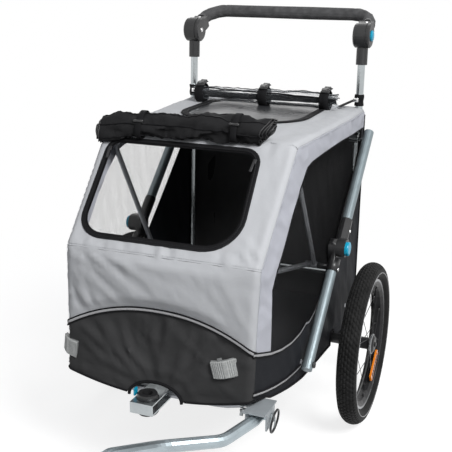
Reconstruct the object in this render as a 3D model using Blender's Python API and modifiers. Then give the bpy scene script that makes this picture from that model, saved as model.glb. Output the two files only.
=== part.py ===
import math

import bmesh
import bpy
import numpy as np
from mathutils import Matrix, Vector
from mathutils.geometry import delaunay_2d_cdt

# Folding bicycle trailer in metres, +Z up. It travels toward -Y and the drawbar is on +X.
# Sizes are given from the axle: y = 0 on the axle line, z = 0 on the ground.

# Clearances
GAP = 0.0003        # between two pieces that touch
RUN = 0.0001        # round a pin that turns in its hole
SEAM = 0.0005       # between two panels sewn edge to edge
CLOTH = 0.0016      # fabric thickness

# Wheels
AXLE_Z = 0.200      # height of the axle in the drawing; build() lifts it to the wheel radius
WHEEL_R = 0.200
TYRE_W = 0.047
TYRE_H = 0.040
WHEEL_X = 0.324
RIM_R = WHEEL_R - TYRE_H
RIM_W = 0.027
RIM_H = 0.018
RIM_INNER_R = RIM_R - RIM_H
HUB_W = 0.051
HUB_R = 0.0145
FLANGE_R = 0.025
FLANGE_X = 0.018
AXLE_R = 0.0062
SPOKE_R = 0.0009
SPOKES = 20

# Base frame
TUBE_R = 0.010
RAIL_X = 0.2035
RAIL_Z = 0.2235
FRONT_Y = -0.470
RAIL_END_Y = 0.135
CORNER_R = 0.080
BEAM_R = 0.0125
BEAM_X = 0.262
CROSS_Y = 0.110
FLOOR_T = 0.005

# Fabric body
BODY = ((-0.4975, 0.180), (-0.478, 0.518), (-0.287, 0.7325), (0.2395, 0.744), (0.2405, 0.170))
BODY_R = (0.028, 0.030, 0.022)
EDGE_R = 0.012
SIDE_X = 0.2405

# Folding frame: fold pivot A, strut feet B, knees C, strut tops D
UP_X = 0.2285
UP_R = 0.0095
UP_Y = 0.205
UP_Z = 0.262
FOLD_Y, FOLD_Z = 0.139, 0.235
GRIP_Y, GRIP_Z = 0.2165, 0.921
STRUT_R = 0.012
LOW_X = 0.2560
HIGH_X = 0.2610
FOOT_Y, FOOT_Z = -0.2591, 0.2415
TOP_Y, TOP_Z = 0.1833, 0.6681
KNEE_AT = 0.2893
KNEE_OFF = 0.0145
KNEE_R = 0.0205
KNEE_END = 0.0235
SLEEVE_R = 0.014
SLEEVE_L = 0.062
PIVOT_R = 0.004

# Bows inside the fabric
BOW_R = 0.006
BOW_AT = 0.245
BOW_PIN_R = 0.003
CREASE_X, CREASE_Y, CREASE_Z = 0.1975, -0.462, 0.502
KINK_X, KINK_Y, KINK_Z = 0.2125, -0.279, 0.716

# Handle
DRUM_R = 0.0315
DRUM_W = 0.022
DISC_T = 0.0095
BAR_R = 0.0115
FOAM_R = 0.0165
REACH = 0.113
BAR_START, GRIP_START = 0.038, 0.053
ARM_TILT = math.radians(24.6)
BEND_R = 0.055

# Drawbar
BAR_X = 0.222
PIN_Y, PIN_Z = -0.474, 0.2175
CHANNEL_W = 0.046
PLATE = 0.003
DRAW_R = 0.0125
DRAW_PATH = ((0.2220, -0.4655, 0.2175), (0.2190, -0.500, 0.2165), (0.189, -0.590, 0.212),
             (0.096, -0.680, 0.226), (0.090, -0.850, 0.300), (0.090, -0.902, 0.300))
HITCH_Y = -0.925


PARTS = bpy.data.collections.new("folding_bicycle_trailer")


def clear():
    for obj in list(bpy.data.objects):
        bpy.data.objects.remove(obj)
    bpy.context.scene.collection.children.link(PARTS)


def material(name, colour, metallic, rough):
    mat = bpy.data.materials.new(name)
    mat.use_nodes = True
    shader = mat.node_tree.nodes["Principled BSDF"]
    shader.inputs["Base Color"].default_value = (*colour, 1.0)
    shader.inputs["Metallic"].default_value = metallic
    shader.inputs["Roughness"].default_value = rough
    return mat


KINDS = {
    "steel": ((0.45, 0.48, 0.50), 0.9, 0.35),
    "zinc": ((0.70, 0.71, 0.72), 1.0, 0.30),
    "plastic": ((0.03, 0.03, 0.032), 0.0, 0.50),
    "teal": ((0.0, 0.45, 0.62), 0.0, 0.35),
    "grey_cloth": ((0.52, 0.53, 0.56), 0.0, 0.85),
    "black_cloth": ((0.03, 0.03, 0.035), 0.0, 0.90),
    "mesh": ((0.02, 0.02, 0.02), 0.0, 0.80),
    "clear": ((0.85, 0.88, 0.90), 0.0, 0.08),
    "rubber": ((0.02, 0.02, 0.02), 0.0, 0.75),
    "foam": ((0.06, 0.06, 0.065), 0.0, 0.90),
    "amber": ((0.85, 0.28, 0.02), 0.0, 0.25),
    "reflective": ((0.35, 0.35, 0.36), 0.0, 0.45),
}


def place(data, name="shape"):
    obj = bpy.data.objects.new(name, data)
    PARTS.objects.link(obj)
    return obj


def solid_of(bm):
    mesh = bpy.data.meshes.new("solid")
    bm.to_mesh(mesh)
    bm.free()
    return place(mesh)


def bake(obj):
    # the evaluated shape as a plain mesh at the world origin, welded and facing out
    bpy.context.view_layer.update()
    done = obj.evaluated_get(bpy.context.evaluated_depsgraph_get())
    mesh = bpy.data.meshes.new_from_object(done)
    mesh.transform(obj.matrix_world)
    bpy.data.objects.remove(obj)
    bm = bmesh.new()
    bm.from_mesh(mesh)
    bmesh.ops.remove_doubles(bm, verts=bm.verts, dist=1e-6)
    bmesh.ops.recalc_face_normals(bm, faces=bm.faces)
    bm.to_mesh(mesh)
    bm.free()
    return place(mesh)


def node(name, kind, obj):
    obj.name = name
    obj.data.name = name
    obj.data.materials.clear()
    obj.data.materials.append(material(name + "_mat", *KINDS[kind]))
    obj.data.shade_smooth()
    obj.data.set_sharp_from_angle(angle=math.radians(40))
    return obj


def mirrored(obj):
    # the same piece on the other side of the trailer
    mesh = obj.data.copy()
    mesh.transform(Matrix.Scale(-1, 4, (1, 0, 0)))
    mesh.flip_normals()
    return place(mesh)


def pair(name, kind, obj):
    other = mirrored(obj)
    return node(name + "_left", kind, obj), node(name + "_right", kind, other)


def boolean(obj, others, operation):
    for other in others:
        mod = obj.modifiers.new("join", "BOOLEAN")
        mod.operation = operation
        mod.object = other
        bpy.context.view_layer.update()
        done = obj.evaluated_get(bpy.context.evaluated_depsgraph_get())
        mesh = bpy.data.meshes.new_from_object(done)
        obj.modifiers.clear()
        obj.data = mesh
        bpy.data.objects.remove(other)
    return obj


def cut(obj, *tools):
    return boolean(obj, tools, "DIFFERENCE")


def fuse(obj, *more):
    return boolean(obj, more, "UNION")


def gather(*objs):
    # several closed bodies in one mesh, for one Boolean
    bm = bmesh.new()
    for obj in objs:
        bm.from_mesh(obj.data)
        bpy.data.objects.remove(obj)
    mesh = bpy.data.meshes.new("gather")
    bm.to_mesh(mesh)
    bm.free()
    return place(mesh)


TURN = {"X": Matrix(((0, 0, 1), (0, 1, 0), (-1, 0, 0))).to_4x4(),
        "Y": Matrix(((1, 0, 0), (0, 0, 1), (0, -1, 0))).to_4x4(),
        "Z": Matrix.Identity(4)}


def lathe(profile, centre, axis="X", sides=24):
    # profile: (along the axis, radius) points, turned with a Screw modifier
    count = len(profile)
    solid = profile[0][1] < 1e-9 and profile[-1][1] < 1e-9
    bm = bmesh.new()
    verts = [bm.verts.new((radius, 0, along)) for along, radius in profile]
    for i in range(count - 1 if solid else count):
        bm.edges.new((verts[i], verts[(i + 1) % count]))
    mesh = bpy.data.meshes.new("profile")
    bm.to_mesh(mesh)
    bm.free()
    obj = place(mesh)
    screw = obj.modifiers.new("turn", "SCREW")
    screw.axis = "Z"
    screw.steps = screw.render_steps = sides
    screw.use_merge_vertices = True
    screw.merge_threshold = 1e-6
    obj.matrix_world = Matrix.Translation(centre) @ TURN[axis]
    return bake(obj)


def rod(start, end, radius, sides=20):
    start, end = Vector(start), Vector(end)
    turn = (end - start).to_track_quat("Z", "Y").to_matrix().to_4x4()
    bm = bmesh.new()
    bmesh.ops.create_cone(bm, cap_ends=True, segments=sides, radius1=radius, radius2=radius,
                          depth=(end - start).length, matrix=Matrix.Translation((start + end) / 2) @ turn)
    return solid_of(bm)


def rod_x(x0, x1, radius, y, z, sides=20):
    return rod((x0, y, z), (x1, y, z), radius, sides)


def box(x0, x1, y0, y1, z0, z1):
    bm = bmesh.new()
    size = Matrix.Diagonal((x1 - x0, y1 - y0, z1 - z0, 1))
    middle = Matrix.Translation(((x0 + x1) / 2, (y0 + y1) / 2, (z0 + z1) / 2))
    bmesh.ops.create_cube(bm, size=1, matrix=middle @ size)
    return solid_of(bm)


def rounded(points, radius, steps=6):
    # a polyline with arcs at its inner points
    points = [Vector(p) for p in points]
    radii = radius if isinstance(radius, (tuple, list)) else [radius] * (len(points) - 2)
    out = [points[0]]
    for k, turn in enumerate(radii, 1):
        before = (points[k - 1] - points[k]).normalized()
        after = (points[k + 1] - points[k]).normalized()
        half = before.angle(after) / 2
        reach = turn / math.tan(half)
        middle = points[k] + (before + after).normalized() * (turn / math.sin(half))
        start = (points[k] + before * reach - middle).to_3d().normalized()
        end = (points[k] + after * reach - middle).to_3d().normalized()
        for i in range(steps + 1):
            arm = start.slerp(end, i / steps) * turn
            out.append(middle + (arm if len(middle) == 3 else arm.to_2d()))
    out.append(points[-1])
    return out


def tube(path, radius, sides=14, bore=0.0):
    # a bevelled curve along a path, with filled caps
    path = [Vector(p) for p in path]
    curve = bpy.data.curves.new("path", "CURVE")
    curve.dimensions = "3D"
    curve.bevel_depth = radius
    curve.bevel_resolution = (sides - 4) // 2
    curve.use_fill_caps = True
    spline = curve.splines.new("POLY")
    spline.points.add(len(path) - 1)
    for point, spot in zip(spline.points, path):
        point.co = (*spot, 1.0)
    solid = bake(place(curve))
    if not bore:
        return solid
    first, last = (path[0] - path[1]).normalized(), (path[-1] - path[-2]).normalized()
    longer = [path[0] + first * 0.002] + path[1:-1] + [path[-1] + last * 0.002]
    return cut(solid, tube(longer, bore, sides))


def plate(outline, lo, hi, axis="X"):
    # a filled flat outline as thick as lo to hi along an axis
    curve = bpy.data.curves.new("outline", "CURVE")
    curve.dimensions = "2D"
    curve.fill_mode = "BOTH"
    curve.extrude = (hi - lo) / 2
    spline = curve.splines.new("POLY")
    spline.points.add(len(outline) - 1)
    for point, spot in zip(spline.points, outline):
        point.co = (spot[0], spot[1], 0, 1)
    spline.use_cyclic_u = True
    middle = (lo + hi) / 2
    facing = {"X": Matrix(((0, 0, 1), (1, 0, 0), (0, 1, 0))), "Y": Matrix(((1, 0, 0), (0, 0, -1), (0, 1, 0))),
              "Z": Matrix.Identity(3)}[axis].to_4x4()
    shift = {"X": (middle, 0, 0), "Y": (0, middle, 0), "Z": (0, 0, middle)}[axis]
    obj = place(curve)
    obj.matrix_world = Matrix.Translation(shift) @ facing
    return bake(obj)


def circle(y, z, radius, sides=20):
    return [(y + radius * math.cos(2 * math.pi * i / sides), z + radius * math.sin(2 * math.pi * i / sides))
            for i in range(sides)]


def hull(points):
    points = sorted(set((round(p[0], 7), round(p[1], 7)) for p in points))

    def half(seq):
        out = []
        for p in seq:
            while len(out) > 1 and ((out[-1][0] - out[-2][0]) * (p[1] - out[-2][1])
                                    - (out[-1][1] - out[-2][1]) * (p[0] - out[-2][0])) <= 1e-12:
                out.pop()
            out.append(p)
        return out[:-1]

    return half(points) + half(points[::-1])


# Body surface. wrap() is the front, slope, roof and back in one strip, side() the two flanks.

PROFILE = [Vector(p) for p in rounded(BODY, BODY_R, 3)]
STATION = [0.0]
for one, two in zip(PROFILE, PROFILE[1:]):
    STATION.append(STATION[-1] + (two - one).length)


def smooth(t):
    t = min(1.0, max(0.0, t))
    return t * t * (3 - 2 * t)


def side_x(y, z):
    # the flank is narrow at the front corners and full beside the struts
    t = min(1.0, max(0.0, (y - BODY[0][0]) / 0.30))
    full = 0.205 + (SIDE_X - 0.205) * (1 - (1 - t) ** 2.4)
    edge = float(np.interp(y, (-0.497, -0.478, -0.287, 0.10), (0.209, 0.214, 0.2215, SIDE_X)))
    edge_z = float(np.interp(y, (-0.497, -0.478, -0.287, 0.24), (0.25, 0.518, 0.7325, 0.744)))
    t = smooth((z - 0.42) / max(0.05, edge_z - 0.42)) if z > 0.42 else 0.0
    return edge * t + full * (1 - t)


def on_profile(v):
    v = min(max(v, 0.0), STATION[-1])
    k = min(int(np.searchsorted(STATION, v, side="right")) - 1, len(PROFILE) - 2)
    t = (v - STATION[k]) / (STATION[k + 1] - STATION[k])
    spot = PROFILE[k].lerp(PROFILE[k + 1], t)

    def normal(i):
        before = (PROFILE[i] - PROFILE[i - 1]).normalized() if i else None
        after = (PROFILE[i + 1] - PROFILE[i]).normalized() if i < len(PROFILE) - 1 else None
        along = ((before or after) + (after or before)).normalized()
        return Vector((-along.y, along.x))

    return spot, normal(k).lerp(normal(k + 1), t).normalized()


def station(y=None, z=None, first=True):
    # the v at which the profile passes a given y (on the top) or z (on the front)
    best = None
    for v in np.linspace(0, STATION[-1], 1600):
        spot, _ = on_profile(float(v))
        off = abs(spot.x - y) if z is None else abs(spot.y - z)
        if z is None and not 0.6 < spot.y:
            continue
        if z is not None and (spot.x < 0) != first:
            continue
        if best is None or off < best[0]:
            best = (off, float(v))
    return best[1]


def half_width(v):
    spot, normal = on_profile(v)
    inner = spot - normal * EDGE_R
    return side_x(inner.x, inner.y)


def girth(v):
    return half_width(v) - EDGE_R + EDGE_R * math.pi / 2


def wrap(u, v, out):
    spot, normal = on_profile(v)
    flat = half_width(v) - EDGE_R
    if abs(u) <= flat:
        spot = spot + normal * out
        return Vector((u, spot.x, spot.y))
    turn = (abs(u) - flat) / EDGE_R
    past = max(0.0, turn - math.pi / 2) * EDGE_R
    turn = min(turn, math.pi / 2)
    spot = spot - normal * (EDGE_R - (EDGE_R + out) * math.cos(turn) + past)
    return Vector((math.copysign(flat + (EDGE_R + out) * math.sin(turn), u), spot.x, spot.y))


def flank(y, z, out):
    return Vector((side_x(y, z) + out, y, z))


def inset(loop, gap):
    # shrink a counter-clockwise outline by gap
    loop = [Vector(p) for p in loop]
    area = sum(a.x * b.y - a.y * b.x for a, b in zip(loop, loop[1:] + loop[:1]))
    if area < 0:
        loop.reverse()
    out = []
    for k, p in enumerate(loop):
        a = (p - loop[k - 1]).normalized()
        b = (loop[(k + 1) % len(loop)] - p).normalized()
        normal = Vector((-a.y - b.y, a.x + b.x))
        if normal.length < 1e-6:
            normal = Vector((-a.y, a.x))
        normal.normalize()
        miter = max(0.35, normal.dot(Vector((-a.y, a.x))))
        out.append(p + normal * (gap / miter))
    return out


def resample(loop, step):
    out = []
    for a, b in zip(loop, loop[1:] + loop[:1]):
        a, b = Vector(a), Vector(b)
        parts = max(1, int(math.ceil((b - a).length / step)))
        out += [a.lerp(b, i / parts) for i in range(parts)]
    return out


def inside(p, loop):
    hit = False
    for a, b in zip(loop, loop[1:] + loop[:1]):
        if (a.y > p.y) != (b.y > p.y) and p.x < (b.x - a.x) * (p.y - a.y) / (b.y - a.y) + a.x:
            hit = not hit
    return hit


def nearest(p, loop):
    best = 1e9
    for a, b in zip(loop, loop[1:] + loop[:1]):
        ab = b - a
        t = min(1.0, max(0.0, (p - a).dot(ab) / max(ab.length_squared, 1e-12)))
        best = min(best, (a + ab * t - p).length)
    return best


def thinness(corners):
    a, b, c = corners[:3]
    longest = max((a - b).length, (b - c).length, (c - a).length)
    return abs((b.x - a.x) * (c.y - a.y) - (c.x - a.x) * (b.y - a.y)) / longest


def within(p, loops):
    return inside(p, loops[0]) and not any(inside(p, hole) for hole in loops[1:])


def panel(surface, outline, holes=(), rows=(), step=0.04, out=0.0):
    # an open sheet on the body surface: outline and holes are in the map's own plane
    loops = [resample(inset(outline, SEAM / 2), step)]
    loops += [resample(list(reversed(inset(h, -SEAM / 2))), step) for h in holes]
    points, edges = [], []
    for loop in loops:
        first = len(points)
        points += loop
        edges += [(first + i, first + (i + 1) % len(loop)) for i in range(len(loop))]
    rim = len(points)
    for row in rows:
        before = None
        for seed in row:
            seed = Vector(seed)
            if not within(seed, loops) or min(nearest(seed, loop) for loop in loops) < 0.004:
                before = None
                continue
            points.append(seed)
            if before and all(within(before.lerp(seed, t), loops) for t in (0.2, 0.4, 0.6, 0.8)):
                edges.append((len(points) - 2, len(points) - 1))
            before = seed
    verts, _, faces, _, _, _ = delaunay_2d_cdt(points, edges, [], 0, 1e-7)
    bm = bmesh.new()
    spots = [bm.verts.new(surface(p.x, p.y, out)) for p in verts]
    for face in faces:
        middle = sum((verts[i] for i in face), Vector((0, 0))) / len(face)
        if max(face) < rim and thinness([verts[i] for i in face]) < 0.0010:
            continue
        if within(middle, loops):
            bm.faces.new([spots[i] for i in face])
    for vert in [v for v in bm.verts if not v.link_faces]:
        bm.verts.remove(vert)
    return solid_of(bm)


def cloth(name, kind, sheet, thick=CLOTH):
    # thickness goes inward from the sheet
    solid = sheet.modifiers.new("thickness", "SOLIDIFY")
    solid.thickness = thick
    solid.offset = -1
    return node(name, kind, bake(sheet))


def cloth_pair(name, kind, sheet, thick=CLOTH):
    other = mirrored(sheet)
    cloth(name + "_left", kind, sheet, thick)
    cloth(name + "_right", kind, other, thick)


def grid(x0, x1, y0, y1, step):
    nx, ny = max(1, round((x1 - x0) / step)), max(1, round((y1 - y0) / step))
    return [[(x0 + (x1 - x0) * i / nx, y0 + (y1 - y0) * j / ny) for i in range(nx + 1)] for j in range(ny + 1)]


def wrap_rows(v0, v1, step):
    # rows of points across the strip, one on every bend line of the profile
    marks = [v for v in STATION if v0 < v < v1] + [v0 + 0.006, v1 - 0.006]
    marks += [v for v in np.linspace(v0, v1, max(2, round((v1 - v0) / step)))
              if min(abs(v - mark) for mark in STATION + [v0, v1]) > 0.02]
    rows = []
    for v in sorted(marks):
        flat = half_width(v) - EDGE_R
        count = max(2, round(2 * flat / step))
        side = [flat + EDGE_R * math.pi * t for t in (1 / 6, 1 / 3)]
        line = [-u for u in reversed(side)] + [-flat + 2 * flat * i / count for i in range(count + 1)] + side
        rows.append([(u, v) for u in line])
    return rows


def rounded_loop(corners, radius, steps=4):
    out = []
    count = len(corners)
    for k in range(count):
        trio = (corners[k - 1], corners[k], corners[(k + 1) % count])
        out += rounded(trio, radius if not isinstance(radius, (list, tuple)) else (radius[k],), steps)[1:-1]
    return out


# Seam lines measured on the body surface

PIPE_W = 0.011
COVER_R = 0.0175


def arch_z(x):
    return 0.346 + 0.060 * (1 - min(1.0, abs(x) / 0.215) ** 2.2)


def hem_z(x):
    return 0.2195 + 0.027 * (min(abs(x), 0.21) / 0.2) ** 2


FRONT_V = {}


def front_v(z):
    key = round(z, 4)
    if key not in FRONT_V:
        FRONT_V[key] = station(z=z)
    return FRONT_V[key]


def across(v, count):
    # positions over the whole width, with extra ones round the two long edges
    flat = half_width(v) - EDGE_R
    edge = [flat + EDGE_R * math.pi * t for t in (1 / 6, 1 / 3, 1 / 2)]
    return [-u for u in reversed(edge)] + [float(u) for u in np.linspace(-flat, flat, count + 1)] + edge


def front_line(height, count=14):
    return [(u, front_v(height(u))) for u in across(front_v(height(0.21)), count)]


ARCH = front_line(arch_z)
HEM = front_line(hem_z)
CREASE_V = (STATION[1] + STATION[4]) / 2
KINK_V = (STATION[5] + STATION[8]) / 2
ROOF_END_V = STATION[12]
NOTCH = [(0.060 * math.cos(a), front_v(hem_z(0)) - 0.002 + 0.036 * math.sin(a))
         for a in np.linspace(math.pi, 0, 9)]

DOOR = [(-0.196, CREASE_V + 0.262), (-0.196, CREASE_V + 0.029), (0.163, CREASE_V + 0.029),
        (0.160, CREASE_V + 0.262)]
SKY_V = station(y=-0.088)
SKYLIGHT = [(-0.152, SKY_V), (0.152, SKY_V), (0.152, station(y=0.188)), (-0.152, station(y=0.188))]
DOOR_LOOP = rounded_loop(DOOR, (0.030, 0.048, 0.048, 0.030))
SKY_LOOP = rounded_loop(SKYLIGHT, 0.045)

SIDE_PIPE = ((-0.486, 0.347), (-0.453, 0.337), (-0.4215, 0.328), (-0.378, 0.320), (-0.328, 0.316),
             (-0.276, 0.319), (-0.240, 0.327))
LOW_PIPE = ((-0.484, 0.261), (-0.445, 0.253), (-0.400, 0.246), (-0.350, 0.240), (-0.300, 0.2375))
DIAGONAL = ((-0.215, 0.322), (-0.172, 0.332), (-0.121, 0.360), (-0.045, 0.425), (0.037, 0.500),
            (0.097, 0.554), (0.165, 0.617), (0.204, 0.660))
WINDOW_TOP = ((0.210, 0.692), (0.021, 0.690), (-0.096, 0.685), (-0.189, 0.679), (-0.222, 0.672),
              (-0.269, 0.636), (-0.317, 0.589), (-0.357, 0.541), (-0.400, 0.494), (-0.420, 0.463),
              (-0.4215, 0.400))
SIDE_HEM = ((-0.484, 0.246), (-0.440, 0.2405), (-0.420, 0.2310), (-0.330, 0.215), (-0.250, 0.203), (-0.150, 0.195),
            (-0.050, 0.188), (-0.0155, 0.185), (-0.0155, 0.2155), (0.0155, 0.2155), (0.0155, 0.184),
            (0.100, 0.181), (0.2285, 0.180))


def flank_edge(v0, v1, step=0.05):
    # the profile, moved in by the corner radius, from v0 to v1
    marks = sorted({v0, v1} | {v for v in STATION if v0 < v < v1})
    out = []
    for a, b in zip(marks, marks[1:]):
        parts = max(1, round((b - a) / step))
        out += [a + (b - a) * i / parts for i in range(parts)]
    edge = []
    for v in out + [v1]:
        spot, normal = on_profile(v)
        edge.append(tuple(spot - normal * (EDGE_R + 0.0012)))
    return edge


def build_wheels():
    w = RIM_W / 2
    half, bed = TYRE_W / 2, RIM_R - 0.41 * RIM_H
    tyre = [(-w + 0.0039, bed + 0.0004), (-w + 0.0025, RIM_R + 0.0012), (-half + 0.003, RIM_R + 0.16 * TYRE_H),
            (-half, RIM_R + 0.42 * TYRE_H), (-half + 0.003, RIM_R + 0.71 * TYRE_H),
            (-half * 0.49, RIM_R + 0.93 * TYRE_H), (0.0, WHEEL_R)]
    tyre += [(-x, r) for x, r in tyre[-2::-1]]
    centre = (WHEEL_X, 0, AXLE_Z)
    pair("tyre", "rubber", lathe(tyre, centre, sides=32))
    rim = lathe([(-w, RIM_R), (-w + 0.0026, RIM_R), (-w + 0.0034, bed), (w - 0.0034, bed),
                 (w - 0.0026, RIM_R), (w, RIM_R), (w, RIM_R - 0.61 * RIM_H), (w - 0.0055, RIM_INNER_R),
                 (-w + 0.0055, RIM_INNER_R), (-w, RIM_R - 0.61 * RIM_H)], centre, sides=32)
    h, bore = HUB_W / 2, AXLE_R + RUN
    hub = lathe([(-h, bore), (-h, 0.0115), (-FLANGE_X - 0.002, FLANGE_R),
                 (-FLANGE_X + 0.002, FLANGE_R), (-FLANGE_X + 0.002, HUB_R), (FLANGE_X - 0.002, HUB_R),
                 (FLANGE_X - 0.002, FLANGE_R), (FLANGE_X + 0.002, FLANGE_R), (h, 0.0160), (h, bore)],
                centre, sides=20)
    pair("wheel", "plastic", fuse(rim, hub, *spokes()))
    pair("spoke_reflector", "amber", spoke_reflector())
    pair("axle", "steel", lathe([(BEAM_X + GAP, 0), (BEAM_X + GAP, 0.0150), (0.2920, 0.0150),
                                 (WHEEL_X - h - 0.0007, 0.0115), (WHEEL_X - h - 0.0007, AXLE_R),
                                 (WHEEL_X + 0.0165, AXLE_R), (WHEEL_X + 0.0165, 0)], (0, 0, AXLE_Z), sides=20))
    pair("hub_button", "plastic", lathe([(0.0205, 0), (0.0205, 0.0058), (0.0275, 0.0058), (0.0290, 0.0042),
                                         (0.0290, 0)], centre, sides=16))


def spokes():
    # each flange carries half of the spokes, leaning alternately forward and back
    groups = [[], [], [], []]
    for k in range(SPOKES):
        side = 1 if k % 2 else -1
        sense = 1 if (k // 2) % 2 else -1
        lean = math.radians(52) * sense
        a = 2 * math.pi * k / SPOKES
        inner_r, outer_r = FLANGE_R - 0.0035, RIM_INNER_R + 0.0015
        start = (WHEEL_X + side * (FLANGE_X + sense * SPOKE_R * 0.55), inner_r * math.cos(a + lean),
                 AXLE_Z + inner_r * math.sin(a + lean))
        end = (WHEEL_X + side * (0.0045 + sense * SPOKE_R * 0.5), outer_r * math.cos(a),
               AXLE_Z + outer_r * math.sin(a))
        groups[k % 4].append(tube((start, end), SPOKE_R, 4))
    return [gather(*group) for group in groups]


def spoke_reflector():
    # two amber bars on one plate, across the spokes near the rim
    a = math.radians(-50)
    out = Vector((math.cos(a), math.sin(a)))
    along = Vector((-out.y, out.x))
    middle = out * (RIM_INNER_R - 0.025) + Vector((0, AXLE_Z))

    def bar(corners, x0, x1):
        return plate([tuple(middle + along * p + out * q) for p, q in corners], WHEEL_X + x0, WHEEL_X + x1)

    bars = [bar([(-0.038, q - 0.005), (0.038, q - 0.005), (0.041, q), (0.038, q + 0.005), (-0.038, q + 0.005),
                 (-0.041, q)], 0.0093, 0.0143) for q in (-0.0065, 0.0065)]
    web = bar([(-0.030, -0.0034), (0.030, -0.0034), (0.030, 0.0034), (-0.030, 0.0034)], 0.0103, 0.0133)
    return fuse(bars[0], web, bars[1])


def build_base():
    corner = [(RAIL_X, RAIL_END_Y, RAIL_Z), (RAIL_X, FRONT_Y, RAIL_Z), (-RAIL_X, FRONT_Y, RAIL_Z),
              (-RAIL_X, RAIL_END_Y, RAIL_Z)]
    frame = tube(rounded(corner, CORNER_R, 5), TUBE_R, 12)
    cross_z = RAIL_Z - 0.0035
    more = [rod((-RAIL_X, CROSS_Y, cross_z), (RAIL_X, CROSS_Y, cross_z), 0.006, 14)]
    for make in (beam_saddle, strut_lug, strut_bolt, fold_fork, fold_bolt):
        piece = make()
        more += [piece, mirrored(piece)]
    node("base_frame", "steel", fuse(frame, *more))
    node("axle_beam", "steel", rod_x(-BEAM_X, BEAM_X, BEAM_R, 0, AXLE_Z, 20))
    z0 = RAIL_Z + 0.0028
    edge = RAIL_X - 0.0115
    loop = rounded_loop([(-edge, FRONT_Y + 0.012), (edge, FRONT_Y + 0.012), (edge, 0.190), (-edge, 0.190)],
                        (0.074, 0.074, 0.01, 0.01), 5)
    node("floor_board", "black_cloth", plate(loop, z0, z0 + FLOOR_T, "Z"))


def beam_saddle():
    return box(RAIL_X - 0.006, RAIL_X + 0.006, -0.016, 0.016, AXLE_Z + BEAM_R + GAP, RAIL_Z)


def strut_lug():
    x = RAIL_X + TUBE_R
    return box(x - 0.002, x + 0.0043, FOOT_Y - 0.014, FOOT_Y + 0.014, RAIL_Z - 0.009, FOOT_Z + 0.011)


def strut_bolt():
    x0 = RAIL_X + TUBE_R + 0.002
    x1, x2 = LOW_X - STRUT_R - GAP, LOW_X + STRUT_R + GAP
    return lathe([(x0, 0), (x0, 0.007), (x1, 0.007), (x1, PIVOT_R), (x2, PIVOT_R), (x2, 0.0075),
                  (x2 + 0.004, 0.0065), (x2 + 0.004, 0)], (0, FOOT_Y, FOOT_Z), sides=14)


def fold_fork():
    # a fork behind each rail that holds the foot of the folding rear frame
    x1 = UP_X + 0.0078
    outline = [(RAIL_X, 0.070), (x1, 0.070), (x1, FOLD_Y + 0.012), (UP_X + 0.0036, FOLD_Y + 0.012),
               (UP_X + 0.0036, 0.105), (UP_X - 0.0036, 0.105), (UP_X - 0.0036, FOLD_Y + 0.012),
               (UP_X - 0.0078, FOLD_Y + 0.012), (UP_X - 0.0078, 0.100), (RAIL_X, 0.100)]
    return plate(outline, RAIL_Z - 0.0015, FOLD_Z + 0.012, "Z")


def fold_bolt():
    x0, x1 = UP_X - 0.0078, UP_X + 0.0078
    return lathe([(x0 - 0.0035, 0), (x0 - 0.0035, 0.0065), (x0 + 0.001, 0.0065), (x0 + 0.001, PIVOT_R),
                  (x1 - 0.001, PIVOT_R), (x1 - 0.001, 0.0065), (x1 + 0.0018, 0.006), (x1 + 0.0018, 0)],
                 (0, FOLD_Y, FOLD_Z), sides=14)


def along_upright(z):
    t = (z - UP_Z) / (GRIP_Z - UP_Z)
    return UP_Y + (GRIP_Y - UP_Y) * t


def build_rear_frame():
    y = along_upright(0.300)
    frame = rod((-UP_X, y, 0.300), (UP_X, y, 0.300), 0.008, 14)
    more = []
    for make in (upright, upright_foot, strut_clamp):
        piece = make()
        more += [piece, mirrored(piece)]
    frame = fuse(frame, *more)
    node("rear_frame", "steel", frame)
    pair("handle_socket", "plastic", handle_socket())


def upright():
    top = GRIP_Z - DRUM_R - 0.004
    return rod((UP_X, UP_Y, UP_Z), (UP_X, along_upright(top), top), UP_R, 14)


def upright_foot():
    seat = UP_Z + 0.002
    loop = hull(circle(FOLD_Y, FOLD_Z, 0.0115) + [(UP_Y - 0.012, seat), (UP_Y + 0.012, seat),
                                                  (UP_Y + 0.012, seat - 0.016)])
    return cut(plate(loop, UP_X - 0.0033, UP_X + 0.0033), rod_x(0.2, 0.25, PIVOT_R + RUN, FOLD_Y, FOLD_Z, 24))


def strut_clamp():
    # a collar on the upright with the stud that the upper strut hangs on
    y = along_upright(TOP_Z)
    collar = plate(hull(circle(TOP_Y, TOP_Z, 0.010) + [(y + 0.0125, TOP_Z - 0.014), (y + 0.0125, TOP_Z + 0.014)]),
                   UP_X - 0.012, UP_X + 0.0085)
    return fuse(collar, rod_x(UP_X + 0.005, HIGH_X - STRUT_R - GAP, 0.005, TOP_Y, TOP_Z, 12))


def handle_socket():
    bottom = 0.850
    low = Vector((UP_X, along_upright(bottom), bottom))
    high = Vector((UP_X, along_upright(GRIP_Z - 0.02), GRIP_Z - 0.02))
    sleeve = cut(rod(low, high, 0.0142, 20), *[rod_x(UP_X + side * 0.0109, UP_X + side * 0.03, DRUM_R, GRIP_Y, GRIP_Z,
                                                     28) for side in (-1, 1)])
    drum = rod_x(UP_X - DRUM_W / 2, UP_X + DRUM_W / 2, DRUM_R, GRIP_Y, GRIP_Z, 28)
    end = GRIP_Z - DRUM_R - 0.003
    hole = rod(low - Vector((0, 0, 0.01)), (UP_X, along_upright(end), end), UP_R + GAP, 18)
    return cut(fuse(sleeve, drum), hole, rod_x(UP_X - 0.03, UP_X + 0.03, 0.0061, GRIP_Y, GRIP_Z, 24))


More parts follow.
